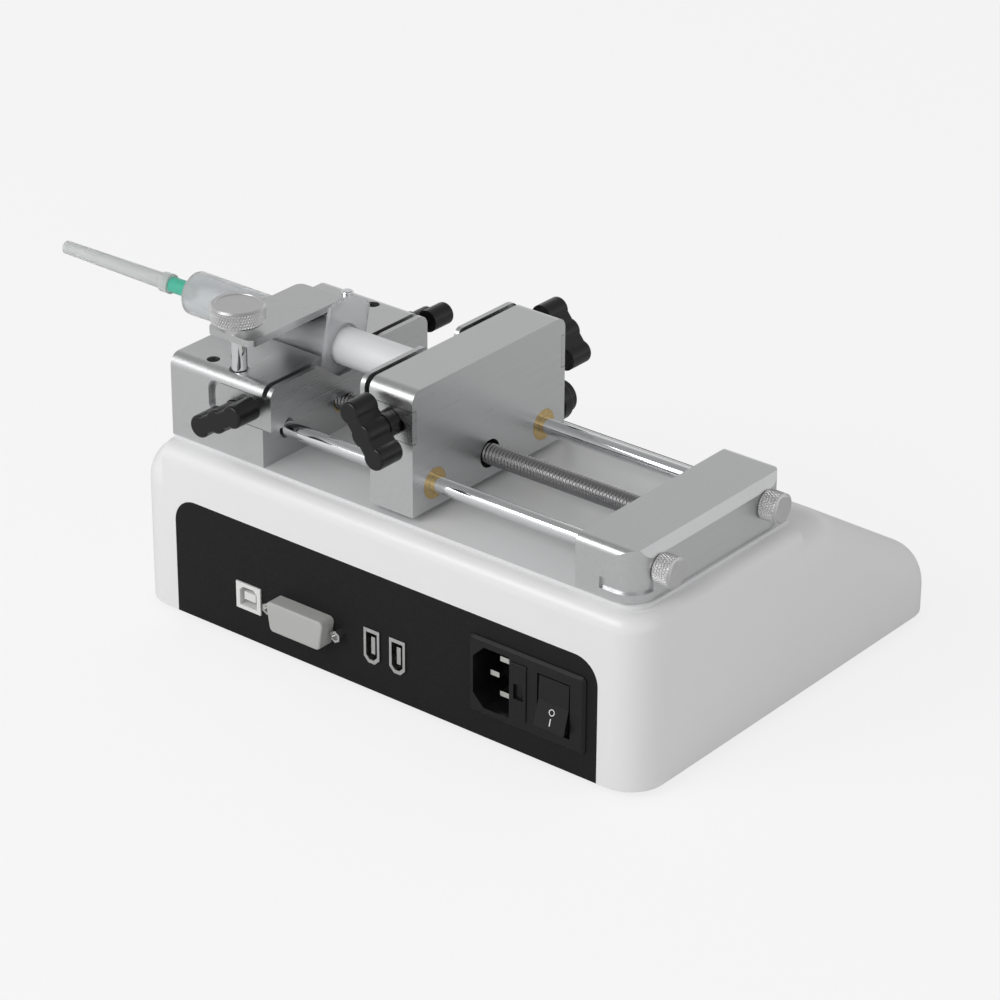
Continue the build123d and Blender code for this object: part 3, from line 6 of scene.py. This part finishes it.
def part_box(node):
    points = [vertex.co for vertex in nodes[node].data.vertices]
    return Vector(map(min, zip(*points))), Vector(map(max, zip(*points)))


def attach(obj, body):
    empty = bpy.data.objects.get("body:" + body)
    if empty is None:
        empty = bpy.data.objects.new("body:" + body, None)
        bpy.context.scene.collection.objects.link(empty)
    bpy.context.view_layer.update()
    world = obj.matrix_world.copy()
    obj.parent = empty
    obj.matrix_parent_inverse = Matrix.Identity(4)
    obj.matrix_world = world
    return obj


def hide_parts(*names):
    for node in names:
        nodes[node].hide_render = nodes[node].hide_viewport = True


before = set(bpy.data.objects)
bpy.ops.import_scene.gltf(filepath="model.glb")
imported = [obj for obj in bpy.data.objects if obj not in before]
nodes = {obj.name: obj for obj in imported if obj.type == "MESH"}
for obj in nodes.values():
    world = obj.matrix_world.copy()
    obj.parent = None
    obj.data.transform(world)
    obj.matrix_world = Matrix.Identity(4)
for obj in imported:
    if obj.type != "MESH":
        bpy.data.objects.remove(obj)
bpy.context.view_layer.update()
mm = 0.001
print("frame loaded:", len(nodes), "nodes")


def newMaterial(name):
    mat = bpy.data.materials.new(name)
    mat.use_nodes = True
    tree = mat.node_tree
    shader = tree.nodes["Principled BSDF"]
    return mat, tree, shader


def objectNoise(tree, scale, detail, stretch=(1, 1, 1), roughness=0.55):
    # noise on Object coordinates, squeezed along the axes that stretch makes larger
    coords = tree.nodes.new("ShaderNodeTexCoord")
    mapping = tree.nodes.new("ShaderNodeMapping")
    mapping.inputs["Scale"].default_value = stretch
    noise = tree.nodes.new("ShaderNodeTexNoise")
    noise.inputs["Scale"].default_value = scale
    noise.inputs["Detail"].default_value = detail
    noise.inputs["Roughness"].default_value = roughness
    tree.links.new(coords.outputs["Object"], mapping.inputs["Vector"])
    tree.links.new(mapping.outputs["Vector"], noise.inputs["Vector"])
    return noise.outputs["Fac"]


def spread(tree, source, low, high, fromLow=0.3, fromHigh=0.7):
    # carries the source from one range to another; most of a noise lies between 0.3 and 0.7
    node = tree.nodes.new("ShaderNodeMapRange")
    node.inputs["From Min"].default_value = fromLow
    node.inputs["From Max"].default_value = fromHigh
    node.inputs["To Min"].default_value = low
    node.inputs["To Max"].default_value = high
    tree.links.new(source, node.inputs["Value"])
    return node.outputs["Result"]


def tint(tree, source, dark, light):
    # two colours mixed by the source
    mix = tree.nodes.new("ShaderNodeMix")
    mix.data_type = "RGBA"
    mix.inputs["A"].default_value = (*dark, 1)
    mix.inputs["B"].default_value = (*light, 1)
    tree.links.new(source, mix.inputs["Factor"])
    return mix.outputs["Result"]


def addBump(tree, shader, height, strength, distance):
    # tilts the normal by the slope of the height
    bump = tree.nodes.new("ShaderNodeBump")
    bump.inputs["Strength"].default_value = strength
    bump.inputs["Distance"].default_value = distance
    tree.links.new(height, bump.inputs["Height"])
    tree.links.new(bump.outputs["Normal"], shader.inputs["Normal"])


def vary(tree, shader, colour, shade, colourNoise, roughness, swing, roughNoise):
    # the colour darkens by the share shade and the roughness swings by the share swing, each with its noise
    dark = [c * (1 - shade) for c in colour]
    tree.links.new(tint(tree, spread(tree, colourNoise, 0, 1), dark, colour), shader.inputs["Base Color"])
    low, high = roughness * (1 - swing), roughness * (1 + swing)
    tree.links.new(spread(tree, roughNoise, low, high), shader.inputs["Roughness"])


plasticLook = {
    "cloudScale": 14.0,
    "cloudDetail": 2.0,
    "grainDetail": 3.0,
    "swing": 0.08,
    "coatRoughness": 0.12,
    "grainDepth": 0.2 * mm,
}


def plastic(name, colour, roughness=0.4, grain=0.0, grainScale=900.0, coat=0.0, shade=0.04, specular=0.5):
    # broad clouds move the colour, and a fine grain moves the roughness and the bump
    mat, tree, shader = newMaterial(name)
    cloud = objectNoise(tree, plasticLook["cloudScale"], plasticLook["cloudDetail"])
    fine = objectNoise(tree, grainScale, plasticLook["grainDetail"])
    vary(tree, shader, colour, shade, cloud, roughness, plasticLook["swing"], fine)
    shader.inputs["Coat Weight"].default_value = coat
    shader.inputs["Specular IOR Level"].default_value = specular
    shader.inputs["Coat Roughness"].default_value = plasticLook["coatRoughness"]
    if grain > 0:
        addBump(tree, shader, fine, grain, plasticLook["grainDepth"])
    return mat


metalLook = {
    "brushDetail": 4.0,
    "brushRoughness": 0.65,
    "swing": 0.2,
    "brushDepth": 0.05 * mm,
}


def metal(name, colour, roughness, stretch, scale, shade=0.12, line=0.15):
    # brushed metal: fine noise drawn out along one axis moves the colour, the roughness and the bump
    mat, tree, shader = newMaterial(name)
    shader.inputs["Metallic"].default_value = 1.0
    grain = objectNoise(tree, scale, metalLook["brushDetail"], stretch, metalLook["brushRoughness"])
    vary(tree, shader, colour, shade, grain, roughness, metalLook["swing"], grain)
    addBump(tree, shader, grain, line, metalLook["brushDepth"])
    return mat


clearLook = {
    "cloudScale": 60.0,
    "cloudDetail": 2.0,
    "shade": 0.04,
    "swing": 0.15,
    "ior": 1.46,
}


def clearPlastic(name, colour, roughness, through):
    # one broad cloud moves both the colour and the roughness, and through is the share of light let through
    mat, tree, shader = newMaterial(name)
    cloud = objectNoise(tree, clearLook["cloudScale"], clearLook["cloudDetail"])
    vary(tree, shader, colour, clearLook["shade"], cloud, roughness, clearLook["swing"], cloud)
    shader.inputs["Transmission Weight"].default_value = through
    shader.inputs["IOR"].default_value = clearLook["ior"]
    return mat


alongX, alongY, evenly = (0.02, 1, 1), (1, 0.02, 1), (1, 1, 1)  # brushed along the small one
finishes = {
    "caseWhite": plastic("satin white case", (0.83, 0.83, 0.83), 0.32, 0.05, 1400.0, 0.15, 0.015),
    "panelBlack": plastic("black back panel", (0.006, 0.006, 0.0065), 0.62, 0.3, 1800.0, specular=0.25),
    "moduleBlack": plastic(
        "black inlet moulding", (0.007, 0.007, 0.0075), 0.42, 0.15, 1500.0, specular=0.3,
    ),
    "portWhite": plastic("white port moulding", (0.78, 0.78, 0.77), 0.35),
    "rockerBlack": plastic("black rocker", (0.006, 0.006, 0.0065), 0.3, 0.0, 900.0, 0.1, specular=0.3),
    "coverGrey": plastic("grey dust cover", (0.46, 0.46, 0.45), 0.5, 0.2, 1500.0),
    "knobBlack": plastic(
        "glossy black knob", (0.005, 0.005, 0.0055), 0.3, 0.05, 700.0, 0.15, specular=0.3,
    ),
    "pusherWhite": plastic("white plunger", (0.8, 0.81, 0.82), 0.3, 0.0, 900.0, 0.2),
    "rubber": plastic("black rubber", (0.02, 0.02, 0.02), 0.65, 0.3, 1200.0),
    "plated": metal("plated port shell", (0.7, 0.7, 0.69), 0.22, evenly, 500.0),
    "contact": metal("plated contact", (0.8, 0.79, 0.76), 0.18, evenly, 500.0),
    "deck": plastic("pale deck plate", (0.76, 0.765, 0.77), 0.3, 0.04, 1200.0, 0.15, 0.03),
    "block": metal("brushed block", (0.66, 0.665, 0.67), 0.33, alongY, 1500.0, 0.06, 0.07),
    "sheet": metal("brushed bracket", (0.62, 0.625, 0.63), 0.3, alongY, 1500.0, 0.06, 0.07),
    "chrome": metal("chromed rod", (0.82, 0.83, 0.84), 0.1, alongX, 900.0, 0.04, 0.05),
    "screw": metal("steel screw", (0.3, 0.3, 0.305), 0.24, evenly, 900.0, 0.1, 0.03),
    "brass": metal("turned brass", (0.72, 0.53, 0.25), 0.25, evenly, 700.0, 0.12, 0.1),
    "knurled": metal("knurled steel", (0.64, 0.64, 0.64), 0.35, evenly, 900.0, 0.06, 0.03),
    "steelInside": metal("plated sheet", (0.6, 0.6, 0.6), 0.35, alongX, 500.0),
    "ruler": plastic("pale ruler", (0.6, 0.61, 0.62), 0.35, 0.1, 1200.0),
    "print": plastic("black print", (0.02, 0.02, 0.02), 0.6),
    "printWhite": plastic("white print", (0.85, 0.85, 0.85), 0.6),
    "printGrey": plastic("grey print", (0.3, 0.31, 0.32), 0.6),
    "barrel": clearPlastic("cloudy barrel", (0.9, 0.92, 0.93), 0.18, 0.7),
    "cap": clearPlastic("frosted cap", (0.9, 0.92, 0.91), 0.3, 0.6),
    "hub": clearPlastic("green hub", (0.12, 0.72, 0.52), 0.25, 0.35),
    "screen": plastic("dark screen glass", (0.01, 0.011, 0.013), 0.06, 0.0, 400.0, 1.0),
    "board": plastic("green board", (0.02, 0.13, 0.06), 0.4),
    "motor": plastic("black motor", (0.02, 0.02, 0.02), 0.45, 0.2),
}

worn = {
    "caseWhite": ["case_shell"],
    "panelBlack": ["rear_panel", "base_plate"],
    "moduleBlack": ["inlet_body", "fuse_drawer"],
    "portWhite": ["usb_port"],
    "rockerBlack": ["rocker_switch"],
    "coverGrey": ["dust_cover"],
    "knobBlack": [
        "release_button", "barrel_wing_screw_back", "barrel_wing_screw_front",
        "carriage_wing_screw_back", "carriage_wing_screw_front",
    ],
    "pusherWhite": ["plunger"],
    "rubber": ["feet", "plunger_stopper", "clamp_pad", "timing_belt"],
    "plated": ["data_connector", "jack_screws", "bus_ports"],
    "contact": ["inlet_pins", "base_screws", "fuse"],
    "deck": ["deck_plate"],
    "block": ["barrel_block", "carriage_block", "end_block", "bearing_plate"],
    "sheet": ["barrel_bracket", "plunger_bracket", "clamp_plate"],
    "chrome": ["guide_rods", "stop_pin", "clamp_post", "needle"],
    "screw": ["lead_screw", "motor_shaft"],
    "brass": ["guide_bushes", "screw_bearings", "half_nut"],
    "knurled": ["clamp_knob", "rod_end_knob_back", "rod_end_knob_front"],
    "steelInside": ["power_supply", "motor_bracket", "motor_pulley", "screw_pulley"],
    "ruler": ["scale_strip"],
    "barrel": ["syringe_barrel"],
    "cap": ["needle_cap"],
    "hub": ["needle_hub"],
    "screen": ["touch_screen"],
    "motor": ["display_module", "stepper_motor"],
    "board": ["control_board"],
}
for finish, names in worn.items():
    for name in names:
        for slot in nodes[name].material_slots:
            slot.material = finishes[finish]
dressed = {name for names in worn.values() for name in names}
print("materials on", len(dressed), "of", len(nodes), "nodes")


def meshPiece(name, points, faces, finish, body, smooth=True):
    mesh = bpy.data.meshes.new(name)
    mesh.from_pydata(points.tolist(), [], faces.tolist())
    mesh.update()
    mesh.polygons.foreach_set("use_smooth", np.full(len(mesh.polygons), smooth))
    mesh.materials.append(finishes[finish])
    piece = bpy.data.objects.new(name, mesh)
    bpy.context.scene.collection.objects.link(piece)
    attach(piece, body)
    return piece


def gridFaces(rows, columns):
    # quads of a grid whose last column joins its first
    row = np.arange(rows - 1)[:, None] * columns
    here = np.arange(columns)[None, :]
    after = (here + 1) % columns
    quads = np.stack([row + here, row + after, row + columns + after, row + columns + here], -1)
    return quads.reshape(-1, 4)


def turnedSurface(along, radius, angles, axis, centre):
    # each point lies at its distance along the axis, and out from the axis by its radius at its angle
    angle = angles[None, :] + np.zeros_like(radius)
    far = along[:, None] + np.zeros_like(radius)
    u, v = radius * np.cos(angle), radius * np.sin(angle)
    if axis == "x":
        grid = np.stack([far, centre[1] + u, centre[2] + v], -1)
    else:
        grid = np.stack([centre[0] + u, centre[1] + v, far], -1)
    return grid.reshape(-1, 3)


# Lead screw with its fine thread
thread = {
    "pitch": 1.5 * mm,
    "crest": 4.0 * mm,
    "root": 3.45 * mm,
    "shoulder": 3.0 * mm,
    "startInside": 2.2 * mm,  # the thread starts this far inside the end block
    "flankSlope": 3.2,
    "rootFlat": 0.3,
    "rowsPerTurn": 6,
    "columns": 36,
}


def threadRadius(along, angle, size):
    # the radius falls and rises once each pitch, and the pattern moves along by one pitch each turn
    phase = (along[:, None] / size["pitch"] - angle[None, :] / (2 * np.pi)) % 1.0
    wave = np.clip(np.abs(phase - 0.5) * size["flankSlope"] - size["rootFlat"], 0, 1)
    return size["root"] + (size["crest"] - size["root"]) * wave


def threadedScrew(size):
    # a plain journal within the end block, then the thread as far as the screw goes
    low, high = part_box("lead_screw")
    centre = (0, (low.y + high.y) / 2, (low.z + high.z) / 2)
    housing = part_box("end_block")[1].x
    start = housing - size["startInside"]
    rows = int((high.x - start) / size["pitch"] * size["rowsPerTurn"])
    along = np.linspace(start, high.x, rows)
    angle = np.linspace(0, 2 * np.pi, size["columns"], endpoint=False)
    radius = threadRadius(along, angle, size)
    ends = np.full((1, size["columns"]), size["shoulder"])
    tip = np.zeros((1, size["columns"]))
    radius = np.vstack([tip, ends, ends, radius, tip])
    along = np.concatenate([[low.x, low.x, start], along, [high.x]])
    points = turnedSurface(along, radius, angle, "x", centre)
    faces = gridFaces(len(along), size["columns"])
    piece = meshPiece("screw_thread", points, faces, "screw", "drive_screw")
    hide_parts("lead_screw")


threadedScrew(thread)
print("thread made")

# Knurled knobs: a profile is (along the axis, radius) in mm, and band names the points the knurl lies between
knurl = {
    "columnsPerGroove": 6,
    "flankSlope": 1.6,
}
clampKnob = {
    "profile": [
        (0, 0), (0, 5.5), (3.5, 5.5), (3.5, 9.6), (4.3, 10.25), (9.7, 10.25),
        (10.5, 9.5), (10.5, 8.3), (10.25, 8.1), (10.25, 0),
    ],
    "band": (4, 5),
    "count": 58,
    "depth": 0.38,
    "pitch": 1.1,
    "rows": 22,
}
endKnob = {
    "profile": [
        (0, 0), (0, 4.6), (0.25, 4.8), (0.7, 5.75), (6.9, 5.75),
        (7.6, 5.1), (7.6, 1.6), (17.6, 1.6), (17.6, 0),
    ],
    "band": (3, 4),
    "count": 34,
    "depth": 0.34,
    "pitch": 1.06,
    "rows": 24,
}


def knurledKnob(name, node, axis, body, size):
    # two families of slanting grooves cross on the band, and the radius falls to the nearer one
    low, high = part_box(node)
    middle = (low + high) / 2
    first, last = size["band"]
    table = np.array(size["profile"]) * mm
    band = np.linspace(table[first, 0], table[last, 0], size["rows"])
    along = np.concatenate([table[:first, 0], band, table[last + 1:, 0]])
    bandRadius = np.full(size["rows"], table[first, 1])
    flat = np.concatenate([table[:first, 1], bandRadius, table[last + 1:, 1]])
    angle = np.linspace(0, 2 * np.pi, size["count"] * knurl["columnsPerGroove"], endpoint=False)
    turn = angle[None, :] * size["count"] / (2 * np.pi)
    step = along[:, None] / (2 * size["pitch"] * mm)
    one, other = np.abs(2 * ((turn + step) % 1) - 1), np.abs(2 * ((turn - step) % 1) - 1)
    inBand = np.zeros((len(along), 1))
    inBand[first + 1:first + size["rows"] - 1] = 1
    rise = np.clip(knurl["flankSlope"] * np.minimum(one, other), 0, 1)
    groove = (1 - rise) * size["depth"] * mm
    radius = flat[:, None] - inBand * groove
    start = low.z if axis == "z" else low.x
    points = turnedSurface(along + start, radius, angle, axis, middle)
    piece = meshPiece(name, points, gridFaces(len(along), len(angle)), "knurled", body, False)
    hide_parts(node)


knurledKnob("clamp_knob_knurled", "clamp_knob", "z", "clamp_swing", clampKnob)
knurledKnob("end_knob_knurled_back", "rod_end_knob_back", "x", "end_knob_back", endKnob)
knurledKnob("end_knob_knurled_front", "rod_end_knob_front", "x", "end_knob_front", endKnob)
print("knobs made")

# Ruler on the deck
ruler = {
    "lift": 0.03,
    "margin": 3.0,
    "edge": 0.6,
    "middleEvery": 5,
    "longEvery": 10,
    "lengths": (2.0, 3.0, 4.2),  # plain, middle and long ticks
    "width": 0.16,
    "numberSize": 3.8,
    "numberPlace": 3.2,
}


def flatQuads(centre, halfX, halfY):
    # four corners of a level rectangle round each centre, all at its height
    corners = np.array([(-1, -1), (1, -1), (1, 1), (-1, 1)])
    points = np.repeat(centre[:, None, :], 4, 1)
    points[:, :, 0] += corners[None, :, 0] * halfX[:, None]
    points[:, :, 1] += corners[None, :, 1] * halfY[:, None]
    return points.reshape(-1, 3), np.arange(len(centre) * 4).reshape(-1, 4)


def rulerTicks(size):
    # one tick each millimetre along the strip's +Y edge, and the places of the long ones are given back
    low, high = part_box("scale_strip")
    count = int((high.x - low.x) / mm - 2 * size["margin"]) + 1
    number = np.arange(count)
    rank = (number % size["middleEvery"] == 0).astype(int) + (number % size["longEvery"] == 0)
    reach = np.array(size["lengths"])[rank] * mm
    place = np.zeros((count, 3))
    place[:, 0] = low.x + (size["margin"] + number) * mm
    place[:, 1] = high.y - size["edge"] * mm - reach / 2
    place[:, 2] = high.z + size["lift"] * mm
    points, faces = flatQuads(place, np.full(count, size["width"] / 2 * mm), reach / 2)
    piece = meshPiece("ruler_ticks", points, faces, "print", "base", False)
    return place[::size["longEvery"]]


def lettering(name, words, places, size, finish, body):
    # each word lies flat on its place, and all of them make one mesh
    curve = bpy.data.curves.new(name, "FONT")
    curve.size = size * mm
    curve.align_x = "CENTER"
    curve.align_y = "CENTER"
    holder = bpy.data.objects.new(name, curve)
    bpy.context.scene.collection.objects.link(holder)
    points, faces = [], []
    for word, place in zip(words, places):
        curve.body = word
        bpy.context.view_layer.update()
        state = bpy.context.evaluated_depsgraph_get()
        flat = bpy.data.meshes.new_from_object(holder.evaluated_get(state))
        base = len(points)
        points += [tuple(vertex.co + Vector(place)) for vertex in flat.vertices]
        faces += [tuple(base + index for index in face.vertices) for face in flat.polygons]
        bpy.data.meshes.remove(flat)
    bpy.data.objects.remove(holder)
    mesh = bpy.data.meshes.new(name)
    mesh.from_pydata(points, [], faces)
    mesh.materials.append(finishes[finish])
    piece = bpy.data.objects.new(name, mesh)
    bpy.context.scene.collection.objects.link(piece)
    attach(piece, body)


tens = rulerTicks(ruler)
tens[:, 1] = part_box("scale_strip")[0].y + ruler["numberPlace"] * mm
labels = [str(number) for number in range(1, len(tens))]
lettering("ruler_numbers", labels, tens[1:], ruler["numberSize"], "print", "base")
print("ruler marked")

# Ticks printed on the syringe barrel
barrelPrint = {
    "first": 39.0,
    "gap": 1.35,
    "count": 24,
    "longEvery": 5,
    "steps": 12,
    "width": 0.22,
    "lift": 0.04,
    "axisRise": 10.5,  # the barrel's axis over the lowest point of the plunger
    "radius": 8.5,
    "startDegrees": 48.0,
    "shortDegrees": 24.0,
    "longDegrees": 44.0,
}


def barrelTicks(size):
    # each tick is a narrow strip bent round the barrel's axis
    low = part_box("syringe_barrel")[0]
    plungerLow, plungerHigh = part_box("plunger")
    centreY, centreZ = (plungerLow.y + plungerHigh.y) / 2, plungerLow.z + size["axisRise"] * mm
    number = np.arange(size["count"])
    sweep = np.where(number % size["longEvery"] == 0, size["longDegrees"], size["shortDegrees"])
    corners = size["steps"] + 1
    share = np.linspace(0, 1, corners)
    angle = np.radians(size["startDegrees"] + sweep[:, None] * share[None, :])
    radius = (size["radius"] + size["lift"]) * mm
    y, z = centreY + radius * np.cos(angle), centreZ + radius * np.sin(angle)
    x = low.x + (size["first"] + number * size["gap"]) * mm
    edges = [x[:, None] + side * size["width"] / 2 * mm + 0 * y for side in (-1, 1)]
    sides = np.stack([np.stack([edge, y, z], -1) for edge in edges], 1)
    base = (number * 2 * corners)[:, None] + np.arange(size["steps"])[None, :]
    faces = np.stack([base, base + 1, base + corners + 1, base + corners], -1).reshape(-1, 4)
    piece = meshPiece("barrel_ticks", sides.reshape(-1, 3), faces, "printGrey", "base")


barrelTicks(barrelPrint)

# Marks on the rocker
rockerMarks = {
    "middle": (-124.0, 89.36, 28.47),
    "tip": (-124.0, 92.05, 19.18),
    "ring": (1.25, 0.95),
    "bar": (0.2, 1.35),
    "ringShare": 0.3,
    "barShare": 0.68,
    "lift": 0.06,
    "steps": 40,
}


def rockerPrint(size):
    # a ring and a bar in the plane of the rocker's lower half, each at its share of the way to the tip
    start, end = np.array(size["middle"]) * mm, np.array(size["tip"]) * mm
    down = (end - start) / np.linalg.norm(end - start)
    across = np.array([1.0, 0, 0])
    outward = np.cross(down, across)
    outward *= np.sign(outward[1])
    lift = outward * size["lift"] * mm
    here = np.arange(size["steps"])
    after = (here + 1) % size["steps"]
    angle = here * 2 * np.pi / size["steps"]
    circle = np.cos(angle)[:, None] * across + np.sin(angle)[:, None] * down
    centre = start + (end - start) * size["ringShare"] + lift
    ring = np.concatenate([centre + circle * radius * mm for radius in size["ring"]])
    centre = start + (end - start) * size["barShare"] + lift
    wide, tall = across * size["bar"][0] * mm, down * size["bar"][1] * mm
    bar = np.stack([centre - wide - tall, centre + wide - tall, centre + wide + tall, centre - wide + tall])
    ringFaces = np.stack([here, after, after + len(here), here + len(here)], -1)
    barFace = len(ring) + np.arange(len(bar))[None, :]
    faces = np.concatenate([ringFaces, barFace])
    piece = meshPiece("rocker_marks", np.concatenate([ring, bar]), faces, "printWhite", "rocker", False)


rockerPrint(rockerMarks)
print("marks made")

# Light, floor and camera, in metres and watts
studio = {
    "horizonLight": 1.0,
    "topLight": 0.36,
    "topHeight": 0.75,
    "floorHalf": 6.0,
    "floorGrey": 0.8,
    "floorRoughness": 0.9,
    "floorWhite": 0.8,
    "aim": (0, 0, 0.06),
    "key": {"place": (0.5, 1.5, 1.1), "size": (1.2, 1.0), "power": 15.0},
    "fill": {"place": (-1.6, 0.3, 0.9), "size": (1.0, 1.0), "power": 1.5},
}


def seenDirectly(tree):
    # 1 for rays from the camera and for those that have gone on through clear plastic
    path = tree.nodes.new("ShaderNodeLightPath")
    either = tree.nodes.new("ShaderNodeMath")
    either.operation = "MAXIMUM"
    tree.links.new(path.outputs["Is Camera Ray"], either.inputs[0])
    tree.links.new(path.outputs["Is Transmission Ray"], either.inputs[1])
    return either.outputs["Value"]


def studioWorld():
    # plain white to the camera, and for all other rays a light that falls off from the horizon upwards
    world = bpy.data.worlds.new("studio")
    world.use_nodes = True
    tree = world.node_tree
    background = tree.nodes["Background"]
    path = tree.nodes.new("ShaderNodeLightPath")
    coords = tree.nodes.new("ShaderNodeTexCoord")
    split = tree.nodes.new("ShaderNodeSeparateXYZ")
    tree.links.new(coords.outputs["Generated"], split.inputs["Vector"])
    low, top = studio["horizonLight"], studio["topLight"]
    fall = spread(tree, split.outputs["Z"], low, top, 0.0, studio["topHeight"])
    strength = tree.nodes.new("ShaderNodeMix")
    tree.links.new(path.outputs["Is Camera Ray"], strength.inputs["Factor"])
    tree.links.new(fall, strength.inputs["A"])
    strength.inputs["B"].default_value = 1.0
    tree.links.new(strength.outputs["Result"], background.inputs["Strength"])
    background.inputs["Color"].default_value = (1, 1, 1, 1)
    bpy.context.scene.world = world


def studioFloor():
    # a matt floor that takes the shadow, and glows by a share so that the camera sees it nearly white
    size = studio["floorHalf"]
    mesh = bpy.data.meshes.new("floor")
    corners = [(-size, -size, 0), (size, -size, 0), (size, size, 0), (-size, size, 0)]
    mesh.from_pydata(corners, [], [(0, 1, 2, 3)])
    floor = bpy.data.objects.new("floor", mesh)
    bpy.context.scene.collection.objects.link(floor)
    mat, tree, shader = newMaterial("pale floor")
    shader.inputs["Base Color"].default_value = (*[studio["floorGrey"]] * 3, 1)
    shader.inputs["Roughness"].default_value = studio["floorRoughness"]
    glow = tree.nodes.new("ShaderNodeEmission")
    mix = tree.nodes.new("ShaderNodeMixShader")
    share = tree.nodes.new("ShaderNodeMath")
    share.operation = "MULTIPLY"
    share.inputs[1].default_value = studio["floorWhite"]
    tree.links.new(seenDirectly(tree), share.inputs[0])
    tree.links.new(share.outputs["Value"], mix.inputs["Fac"])
    tree.links.new(shader.outputs["BSDF"], mix.inputs[1])
    tree.links.new(glow.outputs["Emission"], mix.inputs[2])
    tree.links.new(mix.outputs["Shader"], tree.nodes["Material Output"].inputs["Surface"])
    mesh.materials.append(mat)


def softLight(name):
    # a rectangular lamp that faces the middle of the pump
    values = studio[name]
    lamp = bpy.data.lights.new(name, "AREA")
    lamp.shape = "RECTANGLE"
    lamp.size, lamp.size_y = values["size"]
    lamp.energy = values["power"]
    holder = bpy.data.objects.new(name, lamp)
    holder.location = values["place"]
    towards = Vector(studio["aim"]) - Vector(values["place"])
    holder.rotation_euler = towards.to_track_quat("-Z", "Y").to_euler()
    bpy.context.scene.collection.objects.link(holder)


studioWorld()
studioFloor()
softLight("key")
softLight("fill")

view = {
    "place": (-0.83766, 1.00305, 0.69767),
    "right": (-0.776415, -0.630204, 0.004746),
    "up": (0.288898, -0.349211, 0.891398),
    "forward": (0.560105, -0.693465, -0.453197),
    "lens": 138.434,
    "sensor": 36.0,
    "near": 0.05,
    "far": 50.0,
}


def photoCamera():
    # the camera solved from the photo: its place, and the ways to its right, up and forward
    lens = bpy.data.cameras.new("camera")
    lens.sensor_width = view["sensor"]
    lens.lens = view["lens"]
    lens.clip_start, lens.clip_end = view["near"], view["far"]
    camera = bpy.data.objects.new("camera", lens)
    right, up, forward = (Vector(view[key]).normalized() for key in ("right", "up", "forward"))
    turn = Matrix((right, up, -forward)).transposed().to_4x4()
    camera.matrix_world = Matrix.Translation(Vector(view["place"])) @ turn
    bpy.context.scene.collection.objects.link(camera)
    bpy.context.scene.camera = camera


photoCamera()
bpy.context.scene.view_settings.view_transform = "Standard"
print("studio and camera made")
